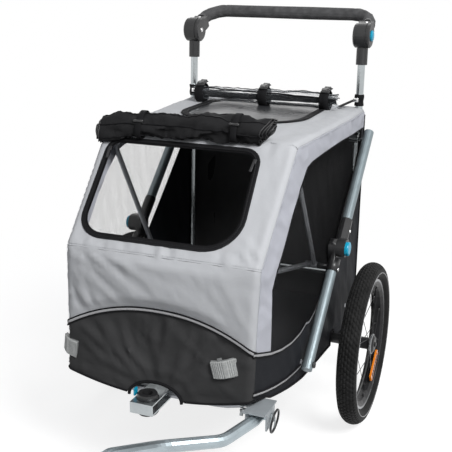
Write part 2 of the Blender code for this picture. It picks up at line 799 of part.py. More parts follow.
def strut_point(s, n, x):
    # s runs up the strut from its foot bolt, n is square to it on the upper side
    dy, dz = TOP_Y - FOOT_Y, TOP_Z - FOOT_Z
    length = math.hypot(dy, dz)
    t, w = Vector((dy, dz)) / length, Vector((-dz, dy)) / length
    p = Vector((FOOT_Y, FOOT_Z)) + t * s + w * n
    return Vector((x, p.x, p.y))


STRUT_L = math.hypot(TOP_Y - FOOT_Y, TOP_Z - FOOT_Z)
KNEE_IN = LOW_X - 0.0135
KNEE_MID = 0.2590
KNEE_OUT = 0.2800


def knee_loop(end_s):
    turn = [(KNEE_AT + KNEE_R * math.cos(a), KNEE_OFF + KNEE_R * math.sin(a))
            for a in np.linspace(0, 2 * math.pi, 24, endpoint=False)]
    corner = [(end_s, -SLEEVE_R + 0.001), (end_s, SLEEVE_R - 0.001)]
    return [tuple(strut_point(s, n, 0))[1:] for s, n in hull(turn + corner)]


def lower_tube():
    solid = rod(strut_point(-0.014, 0, LOW_X), strut_point(KNEE_AT - KNEE_END - 0.004, 0, LOW_X), STRUT_R, 18)
    return cut(solid, rod_x(LOW_X - 0.02, LOW_X + 0.02, PIVOT_R + RUN, FOOT_Y, FOOT_Z, 24))


def upper_tube():
    return rod(strut_point(KNEE_AT + KNEE_END + 0.004, 0, HIGH_X), strut_point(STRUT_L + 0.024, 0, HIGH_X),
               STRUT_R, 18)


def bow_pin():
    y, z = strut_point(BOW_AT, 0, 0).yz
    inner = LOW_X - SLEEVE_R + 0.0015
    return lathe([(CREASE_X - 0.0095, 0), (CREASE_X - 0.0095, 0.0055), (CREASE_X - 0.0075, 0.0055),
                  (CREASE_X - 0.0075, BOW_PIN_R), (KINK_X + 0.0075, BOW_PIN_R), (KINK_X + 0.0075, 0.006),
                  (inner, 0.006), (inner, 0)], (0, y, z), sides=16)


def lower_knee():
    # sleeve on the lower strut, the inner ear of the knee and the pin of the bows
    end = KNEE_AT - KNEE_END
    sleeve = rod(strut_point(end - SLEEVE_L, 0, LOW_X), strut_point(end, 0, LOW_X), SLEEVE_R, 14)
    ear = plate(knee_loop(end - 0.004), KNEE_IN, KNEE_MID - GAP / 2)
    bore = rod(strut_point(end - SLEEVE_L - 0.01, 0, LOW_X), strut_point(end - 0.0037, 0, LOW_X),
               STRUT_R + GAP, 18)
    c = strut_point(KNEE_AT, KNEE_OFF, 0)
    return cut(fuse(sleeve, ear, bow_pin()), bore, rod_x(0.23, 0.29, 0.0061, c.y, c.z, 24))


def upper_knee():
    # sleeve on the upper strut, the outer ear with the knee pin and the pocket of the button
    end = KNEE_AT + KNEE_END
    sleeve = rod(strut_point(end, 0, HIGH_X), strut_point(end + SLEEVE_L, 0, HIGH_X), SLEEVE_R, 14)
    ear = plate(knee_loop(end + 0.004), KNEE_MID + GAP / 2, KNEE_OUT)
    bore = rod(strut_point(end + 0.0037, 0, HIGH_X), strut_point(end + SLEEVE_L + 0.01, 0, HIGH_X),
               STRUT_R + GAP, 18)
    c = strut_point(KNEE_AT, KNEE_OFF, 0)
    pin = rod_x(KNEE_IN + 0.001, KNEE_MID + 0.004, 0.006, c.y, c.z, 24)
    pocket = rod_x(KNEE_OUT - 0.0045, KNEE_OUT + 0.01, 0.0165 + GAP, c.y, c.z, 32)
    return cut(fuse(sleeve, ear, pin), bore, pocket)


def knee_button():
    c = strut_point(KNEE_AT, KNEE_OFF, 0)
    face = KNEE_OUT + 0.0090
    return lathe([(KNEE_OUT - 0.0009, 0), (KNEE_OUT - 0.0009, 0.0165), (face - 0.003, 0.0165),
                  (face - 0.001, 0.0155), (face, 0.0125), (face, 0)], (0, c.y, c.z), sides=28)


def build_struts():
    pair("lower_strut", "steel", lower_tube())
    pair("upper_strut", "steel", upper_tube())
    pair("lower_knee", "plastic", lower_knee())
    pair("upper_knee", "plastic", upper_knee())
    pair("knee_button", "teal", knee_button())


def bow(name, x, y, z, top_x):
    base = strut_point(BOW_AT, 0, x)
    top = Vector((top_x, y, z))
    foot = base + (top - base).normalized() * 0.004
    path = [foot, top, Vector((-top_x, y, z)), Vector((-foot.x, foot.y, foot.z))]
    hoop = tube(rounded(path, 0.045, 3), BOW_R, 8)
    for side in (-1, 1):
        hoop = fuse(hoop, rod_x(side * x - 0.0065, side * x + 0.0065, 0.0075, base.y, base.z, 16))
    for side in (-1, 1):
        hoop = cut(hoop, rod_x(side * x - 0.02, side * x + 0.02, BOW_PIN_R + RUN, base.y, base.z, 16))
    return node(name, "steel", hoop)


def handle_point(reach, x, lift=0.0):
    return Vector((x, GRIP_Y + reach * math.cos(ARM_TILT) - lift * math.sin(ARM_TILT),
                   GRIP_Z + reach * math.sin(ARM_TILT) + lift * math.cos(ARM_TILT)))


def handle_hub():
    w = DRUM_W / 2 + GAP
    hub = lathe([(-w - DISC_T, 0), (-w - DISC_T, 0.0265), (-w - DISC_T + 0.003, 0.0300), (-w, 0.0300),
                 (-w, 0.006), (w, 0.006), (w, 0.0300), (w + DISC_T - 0.003, 0.0300), (w + DISC_T, 0.0265),
                 (w + DISC_T, 0.0135 + GAP), (w + DISC_T - 0.0042, 0.0135 + GAP), (w + DISC_T - 0.0042, 0)],
                (UP_X, GRIP_Y, GRIP_Z), sides=24)
    end = GRIP_START - 0.003
    edge = [(0.0, -0.012), (DRUM_R + 0.004, -0.015), (end, -0.0145), (end, 0.0145), (DRUM_R + 0.004, 0.015),
            (0.0, 0.012)]
    loop = [tuple(handle_point(a, 0, b))[1:] for a, b in edge]
    block = plate(loop, UP_X - w - DISC_T + 0.0005, UP_X + w + DISC_T - 0.0047)
    block = cut(block, rod_x(UP_X - w, UP_X + w, DRUM_R + 0.0010, GRIP_Y, GRIP_Z, 28))
    hole = rod(handle_point(BAR_START - 0.0005, UP_X), handle_point(GRIP_START + 0.007, UP_X), BAR_R + GAP, 18)
    return cut(fuse(hub, block), hole)


def handle_path(start, steps=5):
    corners = [handle_point(start, UP_X), handle_point(REACH, UP_X), handle_point(REACH, -UP_X),
               handle_point(start, -UP_X)]
    bend = min(BEND_R, REACH - GRIP_START - 0.002)
    return rounded(corners, bend, steps)


def build_handle():
    pair("handle_hub", "plastic", handle_hub())
    node("handle_bar", "steel", tube(handle_path(BAR_START), BAR_R, 12))
    node("handle_grip", "foam", tube(handle_path(GRIP_START), FOAM_R, 12, BAR_R + GAP))
    x = UP_X + DRUM_W / 2 + GAP + DISC_T
    pair("handle_button", "teal", lathe([(x - 0.0006, 0), (x - 0.0006, 0.0135), (x + 0.0030, 0.0135),
                                         (x + 0.0048, 0.0110), (x + 0.0056, 0.0060), (x + 0.0058, 0)],
                                        (0, GRIP_Y, GRIP_Z), sides=24))


def build_drawbar():
    w = CHANNEL_W / 2
    z1 = RAIL_Z + TUBE_R + GAP
    web = plate([(BAR_X - w, -0.512), (BAR_X + w, -0.512), (BAR_X + w, -0.440), (0.165, -0.440),
                 (0.165, -0.478), (BAR_X - w, -0.486)], z1, z1 + PLATE, "Z")
    flanges = [box(BAR_X + s * w - (PLATE if s > 0 else 0), BAR_X + s * w + (0 if s > 0 else PLATE),
                   -0.500, -0.452, PIN_Z - 0.020, z1 + 0.001) for s in (-1, 1)]
    hole = (BAR_X - 0.05, BAR_X + 0.05, PIVOT_R + RUN, PIN_Y, PIN_Z, 20)
    node("drawbar_bracket", "steel", cut(fuse(web, *flanges), rod_x(*hole)))
    reach = w - PLATE - GAP
    bar = tube(rounded(DRAW_PATH, (0.06, 0.055, 0.055, 0.05), 3), DRAW_R, 12)
    bar = fuse(bar, rod_x(BAR_X - reach, BAR_X + reach, 0.0095, PIN_Y, PIN_Z, 16), hitch_socket())
    end = Vector(DRAW_PATH[-1])
    bore = rod((end.x, HITCH_Y, end.z - 0.03), (end.x, HITCH_Y, end.z + 0.03), 0.0041, 24)
    node("drawbar", "steel", cut(bar, rod_x(*hole), bore))
    x0, x1 = BAR_X - w - 0.011, BAR_X + w
    pin = lathe([(x0, 0), (x0, 0.0030), (x0 + 0.001, PIVOT_R), (x1 + GAP, PIVOT_R), (x1 + GAP, 0.0070),
                 (x1 + 0.004, 0.0070), (x1 + 0.0055, 0.005), (x1 + 0.0055, 0)], (0, PIN_Y, PIN_Z), sides=16)
    turn = [(x1 + 0.0032 + 0.0015 * math.cos(a), 0.0165 + 0.0015 * math.sin(a))
            for a in np.linspace(0, 2 * math.pi, 6, endpoint=False)]
    ring = lathe(turn, (0, PIN_Y, PIN_Z - 0.0150), sides=16)
    node("drawbar_pin", "zinc", fuse(pin, ring))
    build_hitch(end)


def hitch_socket():
    # the fork on the end of the drawbar
    end = Vector(DRAW_PATH[-1])
    z = end.z
    fork = [box(end.x - 0.011, end.x + 0.011, HITCH_Y - 0.011, end.y - 0.002, z + s * 0.0095 - 0.002,
                z + s * 0.0095 + 0.002) for s in (-1, 1)]
    return fuse(rod((end.x, end.y - 0.006, z), (end.x, end.y + 0.022, z), 0.0155, 14), *fork)


def build_hitch(end):
    z = end.z
    centre = (end.x, HITCH_Y, z)
    node("hitch_pin", "zinc", lathe([(-0.0138, 0), (-0.0138, 0.0060), (-0.0118, 0.0060), (-0.0118, 0.0040),
                                     (0.0118, 0.0040), (0.0118, 0.0060), (0.0150, 0.0060), (0.0150, 0)],
                                    centre, "Z", 24))
    tongue = rod((end.x, HITCH_Y, z - 0.0072), (end.x, HITCH_Y, z + 0.0072), 0.0105, 24)
    neck = box(end.x - 0.007, end.x + 0.007, HITCH_Y - 0.030, HITCH_Y - 0.004, z - 0.0068, z + 0.0068)
    cheek = plate([(HITCH_Y - 0.026, z - 0.018), (HITCH_Y - 0.026, z + 0.018), (HITCH_Y - 0.072, z + 0.018),
                   (HITCH_Y - 0.078, z + 0.012), (HITCH_Y - 0.078, z - 0.012), (HITCH_Y - 0.072, z - 0.018)],
                  end.x - 0.0095, end.x - 0.0040)
    bore = rod((end.x, HITCH_Y, z - 0.03), (end.x, HITCH_Y, z + 0.03), 0.0041, 24)
    head = cut(fuse(tongue, neck, cheek), bore, rod_x(end.x - 0.05, end.x + 0.05, 0.0052, HITCH_Y - 0.056, z, 24))
    node("hitch_head", "steel", head)


def build_receiver():
    y0, y1, w = -0.560, -0.452, 0.025
    z0, z1 = 0.198, 0.236
    shell = box(-w, w, y0, y1, z0, z1)
    hollow = box(-w - 0.01, w + 0.01, y0 + PLATE, y1 + 0.01, z0 + PLATE, z1 - PLATE)
    cy = y0 + 0.030
    shell = cut(shell, hollow, rod_x(-0.05, 0.05, TUBE_R + GAP, FRONT_Y, RAIL_Z, 16),
                rod((0, cy, z0 - 0.01), (0, cy, z1 + 0.01), 0.0205, 32))
    node("front_receiver", "steel", shell)
    node("receiver_bush", "plastic", lathe([(z0 - 0.006, 0.0110), (z0 - 0.006, 0.0190), (z0 - GAP, 0.0232),
                                            (z0 - GAP, 0.0200), (z1 + GAP, 0.0200), (z1 + GAP, 0.0232),
                                            (z1 + 0.011, 0.0200), (z1 + 0.011, 0.0110)], (0, cy, 0), "Z", 24))
    node("receiver_release", "teal", box(-w - 0.0040, -w - GAP, cy - 0.006, cy + 0.006, z1 - 0.012, z1 + 0.016))


def edge_rows(v0, v1, step=0.05):
    marks = sorted({v0, v1} | {v for v in STATION if v0 + 0.004 < v < v1 - 0.004})
    rows = []
    for a, b in zip(marks, marks[1:]):
        parts = max(1, round((b - a) / step))
        rows += [a + (b - a) * i / parts for i in range(parts)]
    return (rows + [v1])[1:-1]


def build_fabric():
    half = PIPE_W / 2
    strip = [Vector((u, v + half)) for u, v in ARCH] + [Vector((u, v - half)) for u, v in reversed(ARCH)]
    for k in (0, len(ARCH) - 1, len(ARCH), 2 * len(ARCH) - 1):
        strip[k].x = math.copysign(girth(strip[k].y), strip[k].x)
    upper_arch, lower_arch = strip[:len(ARCH)], strip[len(ARCH):]
    roof, last = ROOF_END_V, STATION[-1] - 0.012
    canopy = upper_arch + [(girth(v), v) for v in edge_rows(upper_arch[-1][1], roof)]
    canopy += [(u, roof) for u in reversed(across(roof, 8))]
    canopy += [(-girth(v), v) for v in reversed(edge_rows(upper_arch[0][1], roof))]
    seeds = wrap_rows(front_v(0.34), roof, 0.120)
    holes = (DOOR_LOOP, SKY_LOOP, stem_hole(1), stem_hole(-1))
    cloth("canopy", "grey_cloth", panel(wrap, canopy, holes, seeds, 0.120))
    cloth("skylight", "clear", panel(wrap, SKY_LOOP, (), grid(-0.15, 0.15, SKY_V, SKY_V + 0.28, 0.06), 0.05,
                                     -0.0004), 0.0009)
    between = [front_v(z) for z in (0.27, 0.295, 0.32)]
    skirt = [p for p in HEM if p[0] < -0.065] + NOTCH + [p for p in HEM if p[0] > 0.065]
    skirt += [(girth(v), v) for v in between] + lower_arch + [(-girth(v), v) for v in between[::-1]]
    cloth("front_skirt", "black_cloth", panel(wrap, skirt, (), wrap_rows(front_v(0.25), front_v(0.40), 0.060),
                                              0.050))
    cloth("arch_piping", "reflective", panel(wrap, inset(strip, GAP / 2), (), (), 0.03, 0.0010), 0.0026)
    rows = edge_rows(roof, last)
    rear = [(u, roof) for u in across(roof, 8)] + [(girth(v), v) for v in rows]
    rear += [(u, last) for u in reversed(across(last, 8))] + [(-girth(v), v) for v in reversed(rows)]
    cloth("rear_panel", "black_cloth", panel(wrap, rear, (), wrap_rows(roof, last, 0.075), 0.075))
    build_sides()
    build_trim()


def stem_hole(side):
    # where an upright comes out through the rear corner of the roof
    loop = []
    for y, x in circle(along_upright(0.738), UP_X, UP_R + 0.0022, 14):
        v = station(y=y)
        flat = half_width(v) - EDGE_R
        over = max(0.0, x - flat) / EDGE_R
        loop.append((side * (min(x, flat) + EDGE_R * math.asin(min(over, 0.985))), v))
    return loop if side > 0 else loop[::-1]


def build_sides():
    front_v0 = front_v(hem_z(0.21)) + 0.001
    corner_v = ARCH[-1][1]
    window = [(-0.4215, 0.328)] + [p for p in SIDE_PIPE if p[0] > -0.42] + list(DIAGONAL) + list(WINDOW_TOP)
    rear_edge = flank_edge(ROOF_END_V, STATION[-1] - 0.012, 0.08)
    band = flank_edge(corner_v, ROOF_END_V)[:-1] + [p for p in rear_edge if p[1] > 0.70]
    band += [(0.2264, 0.692)] + list(WINDOW_TOP) + [(-0.4215, 0.328)]
    band += [p for p in reversed(SIDE_PIPE) if p[0] < -0.4215][:-1]
    front_edge = flank_edge(front_v0, corner_v)
    black = [front_edge[0]] + [p for p in SIDE_HEM if p[0] > -0.48]
    black += [p for p in reversed(rear_edge) if 0.2 < p[1] < 0.68]
    black += [(0.2264, 0.692), (0.210, 0.692)] + list(reversed(DIAGONAL)) + list(reversed(SIDE_PIPE))[:-1]
    black += front_edge[:0:-1]
    mid = grid(-0.47, 0.20, 0.20, 0.72, 0.110)
    low = strut_point(BOW_AT, 0, 0)
    cloth_pair("side_band", "grey_cloth", panel(flank, band, (), mid, 0.090))
    cloth_pair("side_panel", "black_cloth",
               panel(flank, black, (circle(FOOT_Y, FOOT_Z, 0.0085, 12),), mid, 0.090))
    holes = (circle(low.y, low.z, 0.0075, 12), circle(TOP_Y, TOP_Z, 0.0065, 12))
    cloth_pair("mesh_window", "mesh", panel(flank, window, holes, mid, 0.090, -0.0003), 0.0010)


def build_trim():
    # rolled door, rolled rain cover and reflectors
    roll_v = CREASE_V + 0.266
    ends = [wrap(u, roll_v, 0.0139) for u in (-0.205, -0.10, 0.0, 0.10, 0.185)]
    node("door_roll", "mesh", tube(ends, 0.0135, 12))
    roof_v = station(y=0.150)
    node("rain_cover", "clear", tube([wrap(x, roof_v, COVER_R + GAP) for x in np.linspace(-0.205, 0.205, 7)],
                                     COVER_R, 14))
    for name, x0, x1, z0, z1, tilt in (("left", 0.124, 0.186, 0.2855, 0.3385, 0.06),
                                       ("right", -0.199, -0.150, 0.2755, 0.3230, 0.04)):
        node("front_reflector_" + name, "clear", reflector(x0, x1, z0, z1, tilt))


def reflector(x0, x1, z0, z1, tilt):
    w, h = (x1 - x0) / 2, (z1 - z0) / 2
    loop = rounded_loop([(x - z * tilt, z + x * tilt) for x, z in ((-w, -h), (w, -h), (w, h), (-w, h))], 0.004, 3)
    spot, normal = on_profile(front_v((z0 + z1) / 2))
    lens = plate(loop, -0.0060, -0.0008, "Y")
    lean = math.atan2(BODY[1][0] - BODY[0][0], BODY[1][1] - BODY[0][1])
    lens.matrix_world = Matrix.Translation(((x0 + x1) / 2, spot.x, spot.y)) @ Matrix.Rotation(-lean, 4, "X")
    return bake(lens)


def hang(name, spot, nodes, parent=None):
    # an empty on a joint axis that carries the nodes turning or sliding there
    empty = bpy.data.objects.new(name, None)
    empty.empty_display_size = 0.03
    PARTS.objects.link(empty)
    empty.parent = parent
    empty.location = Vector(spot) - (parent.matrix_world.translation if parent else Vector())
    bpy.context.view_layer.update()
    for title in nodes:
        obj = bpy.data.objects[title]
        obj.data.transform(Matrix.Translation(-Vector(spot)))
        obj.parent = empty
    return empty


def build_axes():
    knee = strut_point(KNEE_AT, KNEE_OFF, 0)
    low = strut_point(BOW_AT, 0, 0)
    end = DRAW_PATH[-1]
    rear = hang("fold_axis", (0, FOLD_Y, FOLD_Z), ("rear_frame", "handle_socket_left", "handle_socket_right"))
    grip = hang("handle_axis", (0, GRIP_Y, GRIP_Z),
                ("handle_hub_left", "handle_hub_right", "handle_bar", "handle_grip"), rear)
    foot = hang("strut_axis", (0, FOOT_Y, FOOT_Z),
                ("lower_strut_left", "lower_strut_right", "lower_knee_left", "lower_knee_right"))
    hang("crease_bow_axis", low, ("crease_bow",), foot)
    hang("kink_bow_axis", low, ("kink_bow",), foot)
    upper = hang("knee_axis", knee, ("upper_strut_left", "upper_strut_right", "upper_knee_left",
                                     "upper_knee_right"), foot)
    bar = hang("drawbar_axis", (BAR_X, PIN_Y, PIN_Z), ("drawbar", "hitch_pin"))
    hang("drawbar_pin_axis", (BAR_X, PIN_Y, PIN_Z), ("drawbar_pin",))
    hang("hitch_axis", (end[0], HITCH_Y, end[2]), ("hitch_head",), bar)
    hang("release_axis", (-0.027, -0.530, 0.236), ("receiver_release",))
    for name, side in (("left", 1), ("right", -1)):
        hang("wheel_axis_" + name, (side * WHEEL_X, 0, AXLE_Z),
             ("tyre_" + name, "wheel_" + name, "spoke_reflector_" + name))
        hang("hub_button_axis_" + name, (side * WHEEL_X, 0, AXLE_Z), ("hub_button_" + name,))
        hang("knee_button_axis_" + name, (side * KNEE_OUT, knee.y, knee.z), ("knee_button_" + name,), upper)
        hang("handle_button_axis_" + name, (side * UP_X, GRIP_Y, GRIP_Z), ("handle_button_" + name,), grip)


def build():
    clear()
    build_base()
    build_wheels()
    build_rear_frame()
    build_struts()
    bow("crease_bow", CREASE_X, CREASE_Y, CREASE_Z, CREASE_X + 0.004)
    bow("kink_bow", KINK_X - 0.0005, KINK_Y, KINK_Z, KINK_X - 0.002)
    build_handle()
    build_drawbar()
    build_receiver()
    build_fabric()
    build_axes()
    front = HITCH_Y - 0.078
    back = GRIP_Y + REACH * math.cos(ARM_TILT) + FOAM_R
    for obj in PARTS.objects:
        if obj.parent is None:
            obj.location.y -= (front + back) / 2
            obj.location.z += WHEEL_R - AXLE_Z


build()
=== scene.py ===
import math

import bmesh
import bpy
import numpy as np
from mathutils import Matrix, Vector, noise
from mathutils.geometry import delaunay_2d_cdt


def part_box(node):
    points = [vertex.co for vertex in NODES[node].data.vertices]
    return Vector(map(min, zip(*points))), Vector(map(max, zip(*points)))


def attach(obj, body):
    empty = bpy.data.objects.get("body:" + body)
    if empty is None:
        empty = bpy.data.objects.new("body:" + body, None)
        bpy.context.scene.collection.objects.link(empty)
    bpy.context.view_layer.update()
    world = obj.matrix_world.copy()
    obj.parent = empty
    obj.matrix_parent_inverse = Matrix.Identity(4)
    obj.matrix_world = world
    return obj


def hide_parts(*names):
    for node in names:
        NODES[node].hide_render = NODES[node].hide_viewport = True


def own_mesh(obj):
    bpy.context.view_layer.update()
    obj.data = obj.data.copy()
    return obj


# Looks of the folding bicycle trailer. Lengths are metres. Shapes are worked out from the axle
# (y = 0 on the axle line) and moved to the part's frame when a piece is made.

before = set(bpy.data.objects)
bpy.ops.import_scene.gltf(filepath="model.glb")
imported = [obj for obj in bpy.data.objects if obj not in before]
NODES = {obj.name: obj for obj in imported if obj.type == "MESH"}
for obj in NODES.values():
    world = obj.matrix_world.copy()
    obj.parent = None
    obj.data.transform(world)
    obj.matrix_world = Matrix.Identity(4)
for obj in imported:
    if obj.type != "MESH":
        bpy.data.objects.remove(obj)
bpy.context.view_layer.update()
AXLE_Y = (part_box("axle_beam")[0].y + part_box("axle_beam")[1].y) / 2
SHIFT = Vector((0.0, AXLE_Y, 0.0))

# Sizes shared with the solids

# the cabin from the side as (y, z): front foot, crease, kink, end of the roof, rear foot
BODY = ((-0.4975, 0.180), (-0.478, 0.518), (-0.287, 0.7325), (0.2395, 0.744), (0.2405, 0.170))
BODY_R = (0.028, 0.030, 0.022)
ARC = 8
EDGE_R, SIDE_X, FRONT_X, WAIST_Z = 0.012, 0.2405, 0.205, 0.42
WHEEL_X, WHEEL_R, SPOKES = 0.324, 0.200, 20
UP_X, UP_R, UP_Y, UP_Z = 0.2285, 0.0095, 0.205, 0.262
GRIP_Y, GRIP_Z = 0.2165, 0.921
FOOT_Y, FOOT_Z, TOP_Y, TOP_Z = -0.2591, 0.2415, 0.1833, 0.6681
LOW_X, HIGH_X, SLEEVE_R, SLEEVE_L = 0.2560, 0.2610, 0.014, 0.062
KNEE_AT, KNEE_END, BOW_AT = 0.2893, 0.0235, 0.245
DRUM_W, DISC_T, GAP = 0.022, 0.0095, 0.0003
ARM_TILT, BAR_R, FOAM_R = math.radians(24.6), 0.0115, 0.0165
PIPE_W = 0.011


# The body surface

def rounded(points, radii, steps):
    # the line with an arc at each inner corner
    points = [Vector(p) for p in points]
    out = [points[0]]
    for k, turn in enumerate(radii, 1):
        before = (points[k - 1] - points[k]).normalized()
        after = (points[k + 1] - points[k]).normalized()
        half = before.angle(after) / 2
        reach = turn / math.tan(half)
        middle = points[k] + (before + after).normalized() * (turn / math.sin(half))
        start = (points[k] + before * reach - middle).to_3d().normalized()
        end = (points[k] + after * reach - middle).to_3d().normalized()
        for i in range(steps + 1):
            out.append(middle + (start.slerp(end, i / steps) * turn).to_2d())
    out.append(points[-1])
    return out


def rounded_loop(corners, radii, steps=8):
    out = []
    count = len(corners)
    for k in range(count):
        trio = (corners[k - 1], corners[k], corners[(k + 1) % count])
        out += rounded(trio, (radii[k],), steps)[1:-1]
    return out


def distances(path):
    # how far along the path each of its points lies
    marks = [0.0]
    for a, b in zip(path, path[1:]):
        marks.append(marks[-1] + (b - a).length)
    return marks


def stretch(marks, spot):
    # the stretch of the path that a distance falls in, and how far along that stretch
    k = min(int(np.searchsorted(marks, spot, side="right")) - 1, len(marks) - 2)
    return k, (spot - marks[k]) / max(1e-9, marks[k + 1] - marks[k])


PROFILE = [Vector(p) for p in rounded(BODY, BODY_R, ARC)]
STATION = distances(PROFILE)
NORMAL = []
for i, spot in enumerate(PROFILE):
    before = (spot - PROFILE[i - 1]).normalized() if i else (PROFILE[1] - spot).normalized()
    after = (PROFILE[i + 1] - spot).normalized() if i < len(PROFILE) - 1 else before
    along = (before + after).normalized()
    NORMAL.append(Vector((-along.y, along.x)))


def smooth(t):
    t = min(1.0, max(0.0, t))
    return t * t * (3 - 2 * t)


def side_x(y, z):
    # half the width: rounded in plan behind the front corners, and slimmer from the waist to the top edge
    t = min(1.0, max(0.0, (y - BODY[0][0]) / 0.30))
    full = FRONT_X + (SIDE_X - FRONT_X) * (1 - (1 - t) ** 2.4)
    edge = float(np.interp(y, (-0.497, -0.478, -0.287, 0.10), (0.209, 0.214, 0.2215, SIDE_X)))
    edge_z = float(np.interp(y, (-0.497, -0.478, -0.287, 0.24), (0.25, 0.518, 0.7325, 0.744)))
    t = smooth((z - WAIST_Z) / max(0.05, edge_z - WAIST_Z)) if z > WAIST_Z else 0.0
    return edge * t + full * (1 - t)


def on_profile(v):
    k, t = stretch(STATION, min(max(v, 0.0), STATION[-1]))
    return PROFILE[k].lerp(PROFILE[k + 1], t), NORMAL[k].lerp(NORMAL[k + 1], t).normalized()


def roof_v(y):
    # the v at which the roof passes y
    return float(np.interp(y, *zip(*[(p.x, v) for p, v in zip(PROFILE, STATION) if p.y > 0.6])))


def front_v(z):
    # the v at which the front passes z
    return float(np.interp(z, *zip(*[(p.y, v) for p, v in zip(PROFILE, STATION) if p.x < 0])))


def flat_half(v):
    # half the width between the rounded edges
    spot, normal = on_profile(v)
    inner = spot - normal * EDGE_R
    return side_x(inner.x, inner.y) - EDGE_R


def girth(v):
    return flat_half(v) + EDGE_R * math.pi / 2


def wrap(u, v, out=0.0):
    # the point at u across and v along the profile, with the long edges rounded
    spot, normal = on_profile(v)
    flat = flat_half(v)
    if abs(u) <= flat:
        spot = spot + normal * out
        return Vector((u, spot.x, spot.y))
    turn = (abs(u) - flat) / EDGE_R
    past = max(0.0, turn - math.pi / 2) * EDGE_R
    turn = min(turn, math.pi / 2)
    spot = spot - normal * (EDGE_R - (EDGE_R + out) * math.cos(turn) + past)
    return Vector((math.copysign(flat + (EDGE_R + out) * math.sin(turn), u), spot.x, spot.y))


def flank(y, z, out=0.0):
    return Vector((side_x(y, z) + out, y, z))


def sided(sign, p):
    return Vector((sign * p.x, p.y, p.z))


def flank_right(y, z, out=0.0):
    return sided(-1, flank(y, z, out))


# each side's name, the sign of its x and its surface
SIDES = (("left", 1, flank), ("right", -1, flank_right))


def arch_z(x):
    return 0.346 + 0.060 * (1 - min(1.0, abs(x) / 0.215) ** 2.2)


def hem_z(x):
    return 0.2195 + 0.027 * (min(abs(x), 0.21) / 0.2) ** 2


def across(v, count):
    flat = flat_half(v)
    edge = [flat + EDGE_R * math.pi * t for t in (1 / 8, 1 / 4, 3 / 8, 1 / 2)]
    return [-u for u in reversed(edge)] + [float(u) for u in np.linspace(-flat, flat, count + 1)] + edge


def line_across(v, count, shift=0.0):
    return [Vector((u, v + shift)) for u in across(v, count)]


def front_line(height, count=30):
    return [Vector((u, front_v(height(u)))) for u in across(front_v(height(0.21)), count)]


ARCH = front_line(arch_z)
HEM = front_line(hem_z)
CREASE_V = (STATION[1] + STATION[ARC + 1]) / 2
KINK_V = (STATION[ARC + 2] + STATION[2 * ARC + 2]) / 2
ROOF_END_V = STATION[3 * ARC + 3]
LAST_V = STATION[-1] - 0.012
NOTCH_HALF, NOTCH_TALL = 0.060, 0.036
NOTCH = [Vector((NOTCH_HALF * math.cos(a), front_v(hem_z(0)) - 0.002 + NOTCH_TALL * math.sin(a)))
         for a in np.linspace(math.pi, 0, 25)]
DOOR_LOW, DOOR_HIGH = CREASE_V + 0.029, CREASE_V + 0.262
DOOR_LOOP = rounded_loop([(-0.196, DOOR_HIGH), (-0.196, DOOR_LOW), (0.158, DOOR_LOW), (0.150, DOOR_HIGH)],
                         (0.030, 0.052, 0.074, 0.034))
SKY_X, SKY_V, SKY_END = 0.152, roof_v(-0.088), roof_v(0.188)
SKY_LOOP = rounded_loop([(-SKY_X, SKY_V), (SKY_X, SKY_V), (SKY_X, SKY_END), (-SKY_X, SKY_END)],
                        (0.095, 0.095, 0.045, 0.045), 12)

# lines on the flanks as (y, z), measured on the photograph with the fitted camera
SIDE_PIPE = ((-0.486, 0.347), (-0.453, 0.337), (-0.4215, 0.328), (-0.378, 0.320), (-0.328, 0.316),
             (-0.276, 0.319), (-0.240, 0.327))
LOW_PIPE = ((-0.484, 0.261), (-0.445, 0.253), (-0.400, 0.246), (-0.350, 0.240), (-0.300, 0.2375))
DIAGONAL = ((-0.215, 0.322), (-0.172, 0.332), (-0.121, 0.360), (-0.045, 0.425), (0.037, 0.500),
            (0.097, 0.554), (0.165, 0.617), (0.204, 0.660))
WINDOW_TOP = ((0.210, 0.692), (0.021, 0.690), (-0.096, 0.685), (-0.189, 0.679), (-0.222, 0.672),
              (-0.269, 0.636), (-0.317, 0.589), (-0.357, 0.541), (-0.400, 0.494), (-0.420, 0.463),
              (-0.4215, 0.400))
SIDE_HEM = ((-0.484, 0.246), (-0.440, 0.2405), (-0.420, 0.2310), (-0.330, 0.215), (-0.250, 0.203),
            (-0.150, 0.195), (-0.050, 0.188), (-0.0155, 0.185), (-0.0155, 0.2155), (0.0155, 0.2155),
            (0.0155, 0.184), (0.100, 0.181), (0.2285, 0.180))


def profile_rows(v0, v1, step, margin=0.0):
    # steps along the profile that keep its own corners
    marks = sorted({v0, v1} | {v for v in STATION if v0 + margin < v < v1 - margin})
    rows = []
    for a, b in zip(marks, marks[1:]):
        parts = max(1, round((b - a) / step))
        rows += [a + (b - a) * i / parts for i in range(parts)]
    return rows + [v1]


def edge_rows(v0, v1, step=0.03):
    return profile_rows(v0, v1, step, 0.002)[1:-1]


def flank_edge(v0, v1):
    # a flank's edge under the rounded long edge, as (y, z)
    edge = []
    for v in profile_rows(v0, v1, 0.02):
        spot, normal = on_profile(v)
        edge.append(tuple(spot - normal * (EDGE_R + 0.0004)))
    return edge


# Flat outlines to fine meshes

def resample(loop, step, closed=True):
    loop = [Vector(p) for p in loop]
    out = []
    for a, b in zip(loop, loop[1:] + loop[:1] if closed else loop[1:]):
        parts = max(1, int(math.ceil((b - a).length / step)))
        out += [a.lerp(b, i / parts) for i in range(parts)]
    return out if closed else out + [loop[-1]]


def signed_area(loop):
    return sum(a.x * b.y - a.y * b.x for a, b in zip(loop, loop[1:] + loop[:1])) / 2


def counter(loop):
    # the loop turned anticlockwise
    loop = [Vector(p) for p in loop]
    return loop if signed_area(loop) > 0 else loop[::-1]


